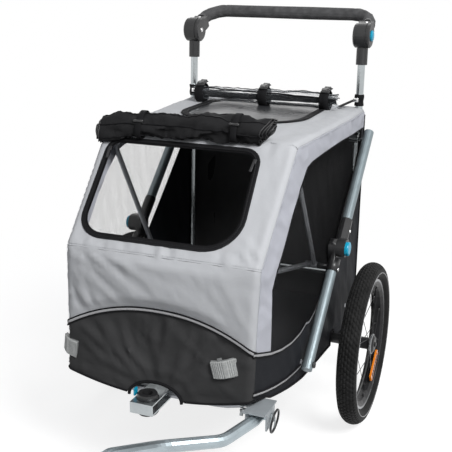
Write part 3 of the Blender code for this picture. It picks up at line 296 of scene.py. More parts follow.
def edge_distance(points, loops):
    # distance of each point to the nearest outline, and whether it is inside the panel
    points = np.array([(p[0], p[1]) for p in points])
    best = np.full(len(points), 1e9)
    inside = np.zeros(len(points), bool)
    for k, loop in enumerate(loops):
        a = np.array([(p[0], p[1]) for p in loop])
        b = np.roll(a, -1, axis=0)
        hit = np.zeros(len(points), bool)
        for (ax, ay), (bx, by) in zip(a, b):
            d = np.array((bx - ax, by - ay))
            t = np.clip(((points - (ax, ay)) @ d) / max(d @ d, 1e-14), 0, 1)
            best = np.minimum(best, np.hypot(*(points - (ax, ay) - t[:, None] * d).T))
            if ay != by:
                crossed = (ay > points[:, 1]) != (by > points[:, 1])
                hit ^= crossed & (points[:, 0] < (bx - ax) * (points[:, 1] - ay) / (by - ay) + ax)
        inside = hit if k == 0 else inside & ~hit
    return best, inside


def flat_size(loop):
    # the smallest rectangle that the cut comes out of
    best = None
    for k in range(90):
        a = math.pi * k / 180
        xs = [p.x * math.cos(a) + p.y * math.sin(a) for p in loop]
        ys = [p.y * math.cos(a) - p.x * math.sin(a) for p in loop]
        size = (max(xs) - min(xs), max(ys) - min(ys))
        if best is None or size[0] * size[1] < best[0] * best[1]:
            best = size
    return min(best), max(best)


def to_mesh(bm):
    mesh = bpy.data.meshes.new("piece")
    bm.to_mesh(mesh)
    bm.free()
    return mesh


def mesh_of(verts, faces, uv=None, outward=True, merge=False):
    mesh = bpy.data.meshes.new("piece")
    mesh.from_pydata(verts, [], faces)
    if uv:
        layer = mesh.uv_layers.new(name="UVMap")
        for loop in mesh.loops:
            layer.data[loop.index].uv = uv[loop.vertex_index]
    if outward:
        bm = bmesh.new()
        bm.from_mesh(mesh)
        if merge:
            bmesh.ops.remove_doubles(bm, verts=bm.verts, dist=1e-7)
        bmesh.ops.recalc_face_normals(bm, faces=bm.faces)
        bm.to_mesh(mesh)
        bm.free()
    return mesh


def flatten(obj):
    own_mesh(obj)


def put(mesh, name, mat, body=None, stands_for=None, angle=None):
    # a finished piece in the part's frame, rigid on its body or, without one, on the chassis with its own
    # copy of the mesh
    mesh.transform(Matrix.Translation(SHIFT))
    obj = bpy.data.objects.new(name, mesh)
    bpy.context.scene.collection.objects.link(obj)
    mesh.name = name
    mesh.materials.append(mat)
    mesh.shade_smooth()
    if angle:
        mesh.set_sharp_from_angle(angle=math.radians(angle))
    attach(obj, body or "chassis")
    if stands_for:
        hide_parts(stands_for)
    if not body:
        flatten(obj)
    return obj


def seeds_inside(loops, step):
    # staggered points over the panel, clear of its outlines
    xs, ys = [p.x for p in loops[0]], [p.y for p in loops[0]]
    seeds, row = [], 0
    y = min(ys)
    while y < max(ys):
        x = min(xs) + (step / 2 if row % 2 else 0)
        while x < max(xs):
            seeds.append((x, y))
            x += step
        y += step * 0.866
        row += 1
    gaps, inner = edge_distance(seeds, loops)
    return [Vector(s) for s, g, i in zip(seeds, gaps, inner) if i and g > step * 0.55]


def panel(name, surface, outline, holes, mat, drape, step, out=0.0, thick=0.0011,
          stands_for=None, fade=0.022, flip=False):
    # a fabric panel: a fine mesh inside the outline, shaped by its folds, with its own thickness
    loops = [resample(counter(outline), step)] + [resample(counter(h)[::-1], step) for h in holes]
    points, edges = [], []
    for loop in loops:
        first = len(points)
        points += loop
        edges += [(first + i, first + (i + 1) % len(loop)) for i in range(len(loop))]
    points += seeds_inside(loops, step)
    verts, _, faces, _, _, _ = delaunay_2d_cdt([Vector(p).to_2d() for p in points], edges, [], 0, 1e-7)
    middles = [sum((verts[i] for i in f), Vector((0, 0))) / len(f) for f in faces]
    _, keep = edge_distance(middles, loops)
    gaps, _ = edge_distance(verts, loops)
    spots = [surface(p.x, p.y, out + drape(p.x, p.y) * smooth(g / fade)) for p, g in zip(verts, gaps)]
    faces = [tuple(f) for f, k in zip(faces, keep) if k]
    mesh = mesh_of(spots, faces, [tuple(p) for p in verts], outward=False)
    if flip:
        mesh.flip_normals()
    obj = put(mesh, name, mat, "chassis", stands_for)
    solid = obj.modifiers.new("thickness", "SOLIDIFY")
    solid.thickness = thick
    solid.offset = -1
    bpy.context.view_layer.update()
    obj_done = obj.evaluated_get(bpy.context.evaluated_depsgraph_get())
    baked = bpy.data.meshes.new_from_object(obj_done)
    obj.modifiers.clear()
    obj.data = baked
    baked.shade_smooth()
    baked.set_sharp_from_angle(angle=math.radians(60))
    flatten(obj)
    cut = sum(abs(signed_area([verts[i] for i in f])) for f in faces)
    wide, long = flat_size(loops[0])
    wide = min(wide, cut / (0.31 * long))  # a bent strip is cut nested in the next one


# Strips, cords and small solids

def frames(path, normals, closed):
    # the side and outward directions at each point of a path
    count = len(path)
    out = []
    for k, p in enumerate(path):
        a = path[k - 1] if k or closed else p
        b = path[(k + 1) % count] if k < count - 1 or closed else p
        tangent = (b - a).normalized()
        normal = (normals[k] - tangent * normals[k].dot(tangent)).normalized()
        out.append((tangent.cross(normal), normal))
    return out


def sweep(path, section, normals, closed=False, scale=None):
    # the section, in (side, outward) offsets, carried along the path; UV runs along it in metres
    path = [Vector(p) for p in path]
    size, rings = len(section), len(path)
    marks = distances(path)
    verts, uv, faces = [], [], []
    for k, (p, (side, normal)) in enumerate(zip(path, frames(path, normals, closed))):
        grow = scale(k / max(1, rings - 1)) if scale else 1.0
        for a, b in section:
            verts.append(p + side * a * grow + normal * b * grow)
            uv.append((marks[k], a if abs(a) > abs(b) else b))
    for k in range(rings if closed else rings - 1):
        here, ahead = k * size, ((k + 1) % rings) * size
        for j in range(size):
            n = (j + 1) % size
            faces.append((here + j, here + n, ahead + n, ahead + j))
    if not closed:
        faces.append(tuple(range(size))[::-1])
        faces.append(tuple((rings - 1) * size + j for j in range(size)))
    return mesh_of(verts, faces, uv)


def band_section(width, thick, soft=0.3):
    w, e = width / 2, min(width * 0.2, thick * soft + 0.0003)
    left = [(-w, 0), (-w, thick * 0.55), (-w + e, thick)]
    return left + [(0, thick * 1.06)] + [(-x, y) for x, y in reversed(left)]


def round_section(radius, sides=8):
    return [(radius * math.cos(2 * math.pi * i / sides), radius * math.sin(2 * math.pi * i / sides))
            for i in range(sides)]


def line_on(surface, line, out=0.0, step=0.006, closed=False):
    # a line of the flat map laid on the surface, with outward directions
    path, normals = [], []
    for p in resample(line, step, closed):
        here = surface(p.x, p.y, out)
        path.append(here)
        normals.append((surface(p.x, p.y, out + 0.002) - here).normalized())
    return path, normals


def join(meshes):
    bm = bmesh.new()
    for mesh in meshes:
        bm.from_mesh(mesh)
    return to_mesh(bm)


def turned(profile, centre, axis=(1, 0, 0), sides=32):
    # a solid of revolution from (along, radius) points
    rows = len(profile)
    to = Vector((0, 0, 1)).rotation_difference(Vector(axis)).to_matrix().to_4x4()
    place = Matrix.Translation(Vector(centre)) @ to
    verts, faces = [], []
    for i in range(sides):
        a = 2 * math.pi * i / sides
        verts += [place @ Vector((r * math.cos(a), r * math.sin(a), z)) for z, r in profile]
        n = (i + 1) % sides
        faces += [(i * rows + j, n * rows + j, n * rows + j + 1, i * rows + j + 1) for j in range(rows - 1)]
    return mesh_of(verts, faces, merge=True)


def block(size, place, bevel=0.0008, segments=2):
    # a block with rounded edges, or with sharp ones at bevel 0
    bm = bmesh.new()
    bmesh.ops.create_cube(bm, size=1, matrix=Matrix.Diagonal((*size, 1)))
    if bevel:
        bmesh.ops.bevel(bm, geom=bm.edges, offset=bevel, segments=segments, profile=0.5, affect="EDGES")
    bm.transform(place)
    return to_mesh(bm)


def shifted(place, x, y, z):
    return place @ Matrix.Translation((x, y, z))


def stitches(path, normals, side):
    # a row of single stitches along a path, each a low ridge
    gap, length, wide, high = 0.0052, 0.0034, 0.0006, 0.0004
    marks = distances(path)
    verts, faces = [], []
    run = gap
    while run + length < marks[-1]:
        ends = []
        for spot in (run, run + length):
            k, t = stretch(marks, spot)
            normal = normals[k].lerp(normals[k + 1], t).normalized()
            sideways = (path[k + 1] - path[k]).normalized().cross(normal)
            ends.append((path[k].lerp(path[k + 1], t) + sideways * side, normal, sideways))
        base = len(verts)
        for p, n, s in ends:
            verts += [p - s * wide / 2, p + n * high, p + s * wide / 2]
        middle = (ends[0][0] + ends[1][0]) / 2 + ends[0][1] * high * 0.5
        for top in (base + 1, base + 4):
            verts[top] = verts[top].lerp(middle, 0.25)
        for face in ((0, 3, 4, 1), (1, 4, 5, 2), (0, 1, 2), (3, 5, 4), (0, 2, 5, 3)):
            faces.append(tuple(base + j for j in face))
        run += gap
    return mesh_of(verts, faces, outward=False)


# Materials

def feed(tree, socket, value):
    if isinstance(value, bpy.types.NodeSocket):
        tree.links.new(value, socket)
    else:
        socket.default_value = value


def node(tree, kind, **inputs):
    # a shader node; an input is a value or another node's output, and its name has _ for each space
    made = tree.nodes.new("ShaderNode" + kind)
    for name, value in inputs.items():
        feed(tree, made.inputs[name.replace("_", " ")], value)
    return made


def maths(tree, kind, a, b=0.0):
    made = node(tree, "Math")
    made.operation = kind
    feed(tree, made.inputs[0], a)
    feed(tree, made.inputs[1], b)
    return made.outputs[0]


def mixed(tree, factor, a, b):
    made = node(tree, "Mix")
    made.data_type = "RGBA"
    for name, value in (("Factor", factor), ("A", a), ("B", b)):
        feed(tree, made.inputs[name], value)
    return made.outputs["Result"]


class Look:
    # a material on the principled shader, with short calls for the nodes that it needs
    def __init__(self, name, colour, rough, **inputs):
        self.mat = bpy.data.materials.new(name)
        self.mat.use_nodes = True
        self.tree = self.mat.node_tree
        self.shader = self.tree.nodes["Principled BSDF"]
        self.set(Base_Color=(*colour, 1), Roughness=rough, **inputs)

    def set(self, **inputs):
        for name, value in inputs.items():
            feed(self.tree, self.shader.inputs[name.replace("_", " ")], value)

    def math(self, kind, a, b=0.0):
        return maths(self.tree, kind, a, b)

    def place(self, kind="Object"):
        return node(self.tree, "TexCoord").outputs[kind]

    def noise(self, scale, detail, coords, rough=0.5):
        made = node(self.tree, "TexNoise", Scale=scale, Detail=detail, Roughness=rough, Vector=coords)
        return made.outputs["Fac"]

    def cells(self, scale, coords):
        return node(self.tree, "TexVoronoi", Scale=scale, Vector=coords).outputs["Distance"]

    def wave(self, coords, axis, per_metre, distortion=0.0):
        scale = per_metre * 2 * math.pi / 20
        made = node(self.tree, "TexWave", Scale=scale, Distortion=distortion, Vector=coords)
        made.wave_type = "BANDS"
        made.bands_direction = axis
        return made.outputs["Fac"]

    def ramp(self, fac, low, high, start=0.0, end=1.0):
        made = node(self.tree, "ValToRGB", Fac=fac)
        for stop, spot, colour in zip(made.color_ramp.elements, (start, end), (low, high)):
            stop.position = spot
            stop.color = (*colour, 1)
        return made.outputs["Color"]

    def grey(self, fac, low, high, start=0.0, end=1.0):
        return self.ramp(fac, (low,) * 3, (high,) * 3, start, end)

    def bump(self, height, distance, strength, under=None):
        made = node(self.tree, "Bump", Height=height, Distance=distance, Strength=strength)
        if under:
            feed(self.tree, made.inputs["Normal"], under)
        return made.outputs["Normal"]

    def tint(self, colour, scale, spread):
        # slow drift of the base colour; gives the coordinates for more of the same
        coords = self.place()
        low = tuple(c * (1 - spread) for c in colour)
        high = tuple(min(1.0, c * (1 + spread)) for c in colour)
        self.base = self.ramp(self.noise(scale, 4.0, coords), low, high, 0.3, 0.7)
        self.set(Base_Color=self.base)
        return coords


def fabric(name, colour, pitch=0.0011, rough=0.82, sheen=0.08, spread=0.05, depth=0.00012, specular=0.3,
           holes=0.0):
    # woven cloth: crossing yarns from the panel's own map, slubs and slow colour drift
    look = Look(name, colour, rough, Sheen_Weight=sheen, Sheen_Roughness=0.45, Specular_IOR_Level=specular)
    coords = look.tint(colour, 7.0, spread)
    uv = look.place("UV")
    weave = look.math("MULTIPLY", look.wave(uv, "X", 1 / pitch), look.wave(uv, "Y", 1 / pitch))
    slub = look.math("MULTIPLY", look.noise(900.0, 2.0, coords), 0.5)
    crumple = look.bump(look.noise(38.0, 5.0, coords, 0.6), 0.0022, 0.35)
    look.set(Normal=look.bump(look.math("ADD", weave, slub), depth, 0.9, crumple))
    if holes:
        yarn = look.grey(weave, 0, 1, 0.0, 0.022)
        look.set(Alpha=look.math("SUBTRACT", 1.0, look.math("MULTIPLY", yarn, holes)))
    return look.mat


def webbing(name, colour, pitch=0.0016):
    # ribbed tape: chevron ribs along the strip's own map
    look = Look(name, colour, 0.75, Specular_IOR_Level=0.10)
    coords = look.tint(colour, 60.0, 0.12)
    ribs = look.wave(look.place("UV"), "X", 1 / pitch, 0.6)
    grain = look.math("MULTIPLY", look.noise(1500.0, 2.0, coords), 0.6)
    look.set(Normal=look.bump(look.math("ADD", ribs, grain), 0.00016, 0.9))
    return look.mat


def reflective(name):
    # silver tape with tiny glass cells
    look = Look(name, (0.42, 0.42, 0.43), 0.38, Metallic=0.35)
    cells = look.cells(900.0, look.place("UV"))
    look.set(Base_Color=look.ramp(cells, (0.50, 0.50, 0.51), (0.30, 0.30, 0.31), 0.0, 0.7))
    look.set(Normal=look.bump(cells, 0.0001, 0.5))
    return look.mat


def plastic(name, colour, rough, grain=1400.0, depth=0.00006):
    # moulded plastic with a fine spark-eroded grain
    look = Look(name, colour, rough)
    coords = look.tint(colour, 30.0, 0.10)
    look.set(Roughness=look.grey(look.noise(22.0, 4.0, coords), rough * 0.85, rough * 1.2, 0.3, 0.75))
    look.set(Normal=look.bump(look.noise(grain, 2.0, coords), depth, 0.6))
    return look.mat


def metal(name, colour, rough, metallic=1.0, streak=0.0, spread=0.06, coat=0.0, paint_x=None):
    # bare, plated or painted metal: cloudy finish, fine scratches and handling marks
    look = Look(name, colour, rough, Metallic=metallic, Coat_Weight=coat, Coat_Roughness=0.12)
    coords = look.tint(colour, 24.0, spread)
    marks = look.noise(55.0, 5.0, coords, 0.7)
    look.set(Roughness=look.grey(marks, rough * 0.8, rough * 1.3, 0.35, 0.7))
    look.set(Normal=look.bump(look.noise(420.0, 3.0, coords), 0.00005, 0.35 + streak))
    if paint_x:
        # dark paint on what lies further out than this
        x = node(look.tree, "SeparateXYZ", Vector=look.place()).outputs["X"]
        beyond = look.math("GREATER_THAN", look.math("ABSOLUTE", x), paint_x)
        look.set(Metallic=look.math("SUBTRACT", metallic, look.math("MULTIPLY", beyond, 0.5)))
        look.set(Base_Color=mixed(look.tree, beyond, look.base, (0.035, 0.037, 0.040, 1)))
    return look.mat


def foam(name):
    # closed foam: fine cells over a slightly uneven, handled surface
    look = Look(name, (0.070, 0.070, 0.072), 0.9, Specular_IOR_Level=0.3)
    coords = look.tint((0.082, 0.082, 0.084), 60.0, 0.28)
    lumps = look.bump(look.noise(46.0, 3.0, coords), 0.004, 0.5)
    look.set(Normal=look.bump(look.cells(620.0, coords), 0.00035, 0.8, lumps))
    return look.mat


def rubber(name, colour):
    # tyre rubber: dull, dusty in the hollows
    look = Look(name, colour, 0.66, Specular_IOR_Level=0.10)
    coords = look.tint(colour, 40.0, 0.35)
    look.set(Normal=look.bump(look.noise(700.0, 3.0, coords), 0.00012, 0.5))
    return look.mat


def film(name, colour, cover, rough, swirl, detail, depth, specular):
    # thin clear sheet: cover is how much light stays out, seen straight on and at a low angle
    look = Look(name, colour, rough, Specular_IOR_Level=specular, Coat_Weight=0.12, Coat_Roughness=0.05)
    coords = look.place()
    facing = node(look.tree, "LayerWeight", Blend=0.35).outputs["Facing"]
    look.set(Alpha=look.grey(facing, *cover, 0.15, 0.95))
    look.set(Roughness=look.grey(look.noise(12.0, 3.0, coords), rough * 0.7, rough * 1.3, 0.3, 0.7))
    look.set(Normal=look.bump(look.noise(swirl, detail, coords, 0.4), depth, 0.5))
    return look.mat


def lens(name, colour, rough=0.12):
    look = Look(name, colour, rough, Coat_Weight=0.5, Coat_Roughness=0.04)
    coords = look.tint(colour, 300.0, 0.15)
    look.set(Normal=look.bump(look.cells(420.0, coords), 0.00025, 0.4))
    return look.mat


def between_radii(look, radius, low, high):
    return look.math("MULTIPLY", look.math("GREATER_THAN", radius, low), look.math("LESS_THAN", radius, high))


def wheel_finish(name):
    # black rim and spokes, with a bare brake track near the outer edge and bright hub flanges
    look = Look(name, (0.02, 0.02, 0.021), 0.35, Specular_IOR_Level=0.18)
    coords = look.place()
    parts = node(look.tree, "SeparateXYZ", Vector=coords).outputs
    y = look.math("SUBTRACT", parts["Y"], AXLE_Y)
    z = look.math("SUBTRACT", parts["Z"], WHEEL_R)
    radius = look.math("SQRT", look.math("ADD", look.math("MULTIPLY", y, y), look.math("MULTIPLY", z, z)))
    track = between_radii(look, radius, 0.1535, 0.1588)
    lip = between_radii(look, radius, 0.0232, 0.0262)
    bright = look.math("MAXIMUM", track, lip)
    black = look.ramp(look.noise(40.0, 4.0, coords), (0.012, 0.012, 0.013), (0.024, 0.024, 0.026), 0.3, 0.7)
    look.set(Base_Color=mixed(look.tree, bright, black, (0.36, 0.37, 0.38, 1)), Metallic=bright)
    look.set(Normal=look.bump(look.noise(500.0, 2.0, coords), 0.00004, 0.4))
    return look.mat


NET_BLACK = (0.020, 0.020, 0.021)
GREY = fabric("grey_fabric", (0.50, 0.51, 0.53), spread=0.03)
BAND = fabric("band_fabric", (0.47, 0.48, 0.53), spread=0.03)
BLACK = fabric("black_fabric", (0.050, 0.050, 0.051), 0.0013, 0.62, 0.0, 0.15, 0.00012, 0.06)
SIDE_BLACK = fabric("side_fabric", (0.017, 0.018, 0.021), 0.0013, 0.60, 0.0, 0.15, 0.0001, 0.05)
MESH = fabric("mesh_fabric", NET_BLACK, 0.0014, 0.7, 0.0, specular=0.03, holes=0.985)
ROLL_MESH = fabric("rolled_mesh", NET_BLACK, 0.0018, 0.60, 0.0, 0.3, 0.0004, 0.06)
TAPE = webbing("black_tape", (0.010, 0.010, 0.011))
THREAD = webbing("grey_thread", (0.30, 0.31, 0.33), 0.0008)
DARK_THREAD = webbing("black_thread", (0.06, 0.06, 0.065), 0.0008)
SILVER = reflective("reflective_tape")
FLOOR_CLOTH = fabric("floor_fabric", (0.05, 0.05, 0.055), 0.0018, 0.85)
PLASTIC = plastic("black_plastic", (0.016, 0.016, 0.017), 0.40)
TEAL = plastic("teal_plastic", (0.0, 0.33, 0.52), 0.32, 900.0, 0.00003)
TUBE = metal("grey_tube", (0.23, 0.275, 0.295), 0.42, 0.55, 0.1)
STEM = metal("plated_tube", (0.46, 0.49, 0.50), 0.18, spread=0.08)
RIM_BLACK = metal("blackened_steel", (0.03, 0.03, 0.031), 0.35, 0.6)
FRAME_STEEL = metal("frame_tube", (0.30, 0.31, 0.33), 0.42, 0.8)
BASE_STEEL = metal("base_tube", (0.30, 0.31, 0.33), 0.42, 0.8, paint_x=0.2436)
ZINC = metal("zinc", (0.44, 0.47, 0.48), 0.34, 0.95, 0.1, 0.14)
DRAW = metal("drawbar_finish", (0.40, 0.46, 0.49), 0.34, 0.8, 0.0, 0.10, 0.1)
PULL = metal("zip_pull", (0.035, 0.035, 0.037), 0.42, 0.6)
RIVET = metal("rivet_steel", (0.80, 0.80, 0.80), 0.18)
DARK_STEEL = metal("wing_nut_steel", (0.30, 0.32, 0.33), 0.32, 0.9)
PLATE = metal("bracket_plate", (0.37, 0.40, 0.42), 0.46, 0.35, 0.1)
FOAM = foam("foam")
RUBBER = rubber("tyre_rubber", (0.016, 0.016, 0.016))
CLEAR = film("clear_film", (0.50, 0.53, 0.56), (0.015, 0.42), 0.05, 30.0, 3.0, 0.005, 0.55)
SKY_FILM = film("skylight_film", (0.025, 0.026, 0.029), (0.92, 0.97), 0.34, 6.0, 1.0, 0.020, 0.32)
LENS = lens("clear_lens", (0.34, 0.35, 0.345))
LENS_BACK = lens("lens_back", (0.16, 0.165, 0.165), 0.25)
AMBER = lens("amber_lens", (0.90, 0.24, 0.01))
RIM_MAT = wheel_finish("rim_and_hub")


# Folds in the cloth: amplitudes and wavelengths are metres, the last number picks the pattern

def folds(a, b, wide, long, seed):
    # soft creases: narrow across a, long along b, between -1 and 1
    n = noise.noise(Vector((a / wide, b / long, seed)))
    m = noise.noise(Vector((a / wide * 2.1 + 5, b / long * 1.3, seed + 4)))
    return (1 - abs(n) * 2.2) * 0.65 + m * 0.5 - 0.35


def creases(a, b, wide, long, seed):
    # sharp ridges where the cloth is pinched, flat between them
    n = abs(noise.noise(Vector((a / wide, b / long, seed))))
    return math.exp(-(n / 0.10) ** 2)


def fan_out(u, v, corner, wide, long, seed):
    # pull lines that spread from a corner
    du, dv = u - corner[0], v - corner[1]
    r = math.hypot(du, dv) + 0.02
    a = math.atan2(dv, du)
    return folds(a, r, wide, long, seed) * 0.8 + creases(a, r, wide * 0.7, long, seed + 2) * 0.5


def front_wall_drape(u, v):
    # pull lines from the upper left corner, calmer towards the right
    left = smooth((0.13 - u) / 0.30)
    lift = 0.0066 * left * fan_out(u, v, (-0.25, CREASE_V + 0.05), 0.16, 0.20, 2.3)
    lift += 0.0026 * (1 - left) * fan_out(u, v, (0.24, CREASE_V - 0.20), 0.22, 0.18, 6.1)
    lift += 0.0011 * folds(u * 0.8 + v * 0.6, u * 0.6 - v * 0.8, 0.016, 0.06, 3.3)
    lift += 0.0090 * math.sin(math.pi * min(1.0, max(0.0, (u + 0.22) / 0.44)))
    return lift * smooth((CREASE_V - v) / 0.022)


def slope_drape(u, v):
    # puckers behind the crease, pull lines on the right and slack cloth below the door
    crease = v - CREASE_V
    near = smooth((crease - 0.003) / 0.008)
    beat = 0.55 + 0.45 * noise.noise(Vector((u * 22, 3.0, 1)))
    puckers = 0.0052 * beat * math.sin(u * 260 + 5 * noise.noise(Vector((u * 14, 0, 1))))
    puckers *= math.exp(-crease / 0.017) * smooth((0.16 - u) / 0.2) * near
    low = smooth((0.09 - crease) / 0.08) * smooth((crease - 0.003) / 0.010)
    right = smooth((u - 0.04) / 0.12)
    pull = fan_out(u, v, (0.24, CREASE_V - 0.02), 0.20, 0.10, 3.7)
    lift = puckers + 0.0085 * low * right * pull
    lift += 0.0044 * low * (1 - right) * folds(u, crease, 0.045, 0.06, 9.2)
    lift += 0.0034 * folds(abs(u) * 2.5, v, 0.09, 0.12, 5.0) - 0.0015 * math.sin(math.pi * crease / 0.28)
    return lift + 0.0010 * creases(abs(u) * 2 + v * 0.4, v, 0.055, 0.20, 7.0)


def roof_drape(u, v):
    sag = -0.003 * math.sin(math.pi * min(1.0, (v - KINK_V) / 0.5))
    pinched = 0.0012 * creases(u * 0.5 + v, u, 0.07, 0.20, 2.0) * smooth((abs(u) - 0.15) / 0.02)
    return sag + 0.0020 * folds(u, v, 0.05, 0.12, 8.8) + pinched


def canopy_drape(u, v):
    if v < CREASE_V:
        return front_wall_drape(u, v)
    return slope_drape(u, v) if v < KINK_V else roof_drape(u, v)


def skirt_drape(u, v):
    # creases fan out from the cut-out up to the arch, with slack cloth between them
    du, dv = u + 0.005, v - front_v(0.20)
    r = math.hypot(du, dv)
    a = math.atan2(du, dv)
    high = smooth((r - 0.085) / 0.06)
    bend = a + 0.10 * noise.noise(Vector((a * 2.0, r * 9.0, 2.2)))
    uneven = 0.6 + 0.8 * abs(noise.noise(Vector((a * 2.4, 1, 3))))
    lift = 0.0092 * high * folds(bend, r, 0.17, 0.20, 4.4) * uneven
    lift += 0.0030 * high * creases(bend, r, 0.26, 0.20, 1.7)
    lift += 0.0070 * smooth((r - 0.035) / 0.05) * folds(a * 0.8 + 2.2 * r, r, 0.30, 0.20, 9.4)
    lift += 0.0026 * creases(u * 0.75 + v * 0.66, v * 0.75 - u * 0.66, 0.060, 0.11, 6.6)
    lift += 0.0040 * folds(u, v, 0.060, 0.026, 1.2) * smooth((0.055 - dv) / 0.03)
    # calm where the two lenses sit
    calm = min(math.hypot(u - 0.156, v - front_v(0.313)), math.hypot(u + 0.205, v - front_v(0.303)))
    return lift * (0.15 + 0.85 * smooth((calm - 0.020) / 0.035))


def band_drape(y, z):
    along = y * 0.67 + z * 0.74
    cross = y * 0.74 - z * 0.67
    return 0.0044 * folds(along, cross, 0.032, 0.11, 2.0) + 0.0024 * creases(along, cross, 0.040, 0.10, 5.5)


def side_drape(y, z):
    lift = 0.0046 * folds(y * 0.8 + z * 0.6, z * 0.8 - y * 0.6, 0.055, 0.20, 7.7)
    return lift + 0.0016 * creases(y * 0.9 + z * 0.4, z, 0.06, 0.25, 3.0) - 0.002


def window_drape(y, z):
    return -0.0040 + 0.0030 * folds(y + z * 0.3, z, 0.06, 0.30, 11.0)


def rear_drape(u, v):
    return (0.0046 * folds(u * 0.9 + v * 0.2, v, 0.060, 0.20, 12.0)
            + 0.0018 * creases(u + v * 0.3, v, 0.07, 0.3, 4.0))


def sky_drape(u, v):
    swell = math.sin(math.pi * min(1.0, max(0.0, (v - SKY_V) / (SKY_END - SKY_V))))
    wrinkle = noise.noise(Vector(((v + u * 0.12) * 9.0, u * 4.0, 14.0)))
    return 0.0040 * swell * smooth((0.15 - abs(u)) / 0.1) + 0.0045 * wrinkle


# Fabric panels

half = PIPE_W / 2
upper_arch = [Vector((u, v + half)) for u, v in ARCH]
lower_arch = [Vector((u, v - half)) for u, v in ARCH]
for line in (upper_arch, lower_arch):
    for k in (0, -1):
        line[k].x = math.copysign(girth(line[k].y), line[k].x)


def along_upright(z):
    # the upright's y at a height
    return UP_Y + (GRIP_Y - UP_Y) * (z - UP_Z) / (GRIP_Z - UP_Z)


def stem_hole(side):
    # the opening in the rounded edge where an upright comes out
    loop = []
    radius = UP_R + 0.0016
    for k in range(16):
        a = 2 * math.pi * k / 16
        v = roof_v(along_upright(0.738) + radius * math.cos(a))
        x, flat = UP_X + radius * math.sin(a), flat_half(v)
        over = max(0.0, x - flat) / EDGE_R
        loop.append(Vector((side * (min(x, flat) + EDGE_R * math.asin(min(over, 0.985))), v)))
    return loop


def edge_line(sign, rows):
    # the line where a side's rounded edge meets its flank
    return [Vector((sign * girth(v), v)) for v in rows]


canopy = upper_arch + edge_line(1, edge_rows(upper_arch[-1].y, ROOF_END_V))
canopy += line_across(ROOF_END_V, 20)[::-1] + edge_line(-1, edge_rows(upper_arch[0].y, ROOF_END_V)[::-1])
panel("canopy_fabric", wrap, canopy, (DOOR_LOOP, SKY_LOOP, stem_hole(1), stem_hole(-1)), GREY, canopy_drape,
      0.0085, stands_for="canopy")
panel("skylight_film", wrap, SKY_LOOP, (), SKY_FILM, sky_drape, 0.009, -0.0004, 0.0006, "skylight", 0.03)

skirt_rows = [front_v(z) for z in (0.26, 0.28, 0.30, 0.32)]
skirt = [p for p in HEM if p.x < -NOTCH_HALF - 0.005] + NOTCH + [p for p in HEM if p.x > NOTCH_HALF + 0.005]
skirt += edge_line(1, skirt_rows) + lower_arch[::-1] + edge_line(-1, skirt_rows[::-1])
panel("front_skirt_fabric", wrap, skirt, (), BLACK, skirt_drape, 0.0085, stands_for="front_skirt", fade=0.016)

rear_rows = edge_rows(ROOF_END_V, LAST_V)
rear = line_across(ROOF_END_V, 20) + edge_line(1, rear_rows)
rear += line_across(LAST_V, 20)[::-1] + edge_line(-1, rear_rows[::-1])
panel("rear_panel_fabric", wrap, rear, (), BLACK, rear_drape, 0.011, stands_for="rear_panel")

WINDOW_FOOT, BAND_END = (-0.4215, 0.328), (0.2264, 0.692)
window = [WINDOW_FOOT] + [p for p in SIDE_PIPE if p[0] > -0.42] + list(DIAGONAL) + list(WINDOW_TOP)
rear_edge = flank_edge(ROOF_END_V, LAST_V)
band = flank_edge(ARCH[-1].y, ROOF_END_V)[:-1] + [p for p in rear_edge if p[1] > 0.70]
band += [BAND_END] + list(WINDOW_TOP) + [WINDOW_FOOT]
band += [p for p in reversed(SIDE_PIPE) if p[0] < WINDOW_FOOT[0]][:-1]
front_edge = flank_edge(front_v(hem_z(0.21)) + 0.001, ARCH[-1].y)
side_outline = [front_edge[0]] + [p for p in SIDE_HEM if p[0] > -0.48]
side_outline += [p for p in reversed(rear_edge) if 0.19 < p[1] < 0.68]
side_outline += [BAND_END, WINDOW_TOP[0]] + list(reversed(DIAGONAL)) + list(reversed(SIDE_PIPE))[:-1]
side_outline += front_edge[:0:-1]


def ring_hole(y, z, r, count=14):
    return [(y + r * math.cos(2 * math.pi * k / count), z + r * math.sin(2 * math.pi * k / count))
            for k in range(count)]


def strut_point(s, n=0, x=0):
    # a point s up the strut from its foot, n off its line and x to the side
    dy, dz = TOP_Y - FOOT_Y, TOP_Z - FOOT_Z
    length = math.hypot(dy, dz)
    t, w = Vector((dy, dz)) / length, Vector((-dz, dy)) / length
    p = Vector((FOOT_Y, FOOT_Z)) + t * s + w * n
    return Vector((x, p.x, p.y))


bow_foot = strut_point(BOW_AT)
foot_hole = ring_hole(FOOT_Y, FOOT_Z, 0.0085)
window_holes = (ring_hole(bow_foot.y, bow_foot.z, 0.0075), ring_hole(TOP_Y, TOP_Z, 0.0065))
for side, sign, surface in SIDES:
    flip = sign < 0
    panel("side_band_fabric_" + side, surface, band, (), BAND, band_drape, 0.009,
          stands_for="side_band_" + side, flip=flip, fade=0.008)
    panel("side_panel_fabric_" + side, surface, side_outline, (foot_hole,), SIDE_BLACK, side_drape, 0.010,
          stands_for="side_panel_" + side, flip=flip)
    panel("mesh_window_fabric_" + side, surface, window, window_holes, MESH, window_drape, 0.011, -0.0003,
          0.0006, "mesh_window_" + side, 0.03, flip)


# Piping, bindings, zips and seams

def offset(line, by, closed=False):
    # a flat line moved to its left
    line = [Vector(p) for p in line]
    out = []
    for k, p in enumerate(line):
        a = line[k - 1] if k or closed else p
        b = line[(k + 1) % len(line)] if k < len(line) - 1 or closed else p
        t = (b - a).normalized()
        out.append(p + Vector((-t.y, t.x)) * by)
    return out


def lifted(path, normals, by):
    return [p + n * by for p, n in zip(path, normals)]


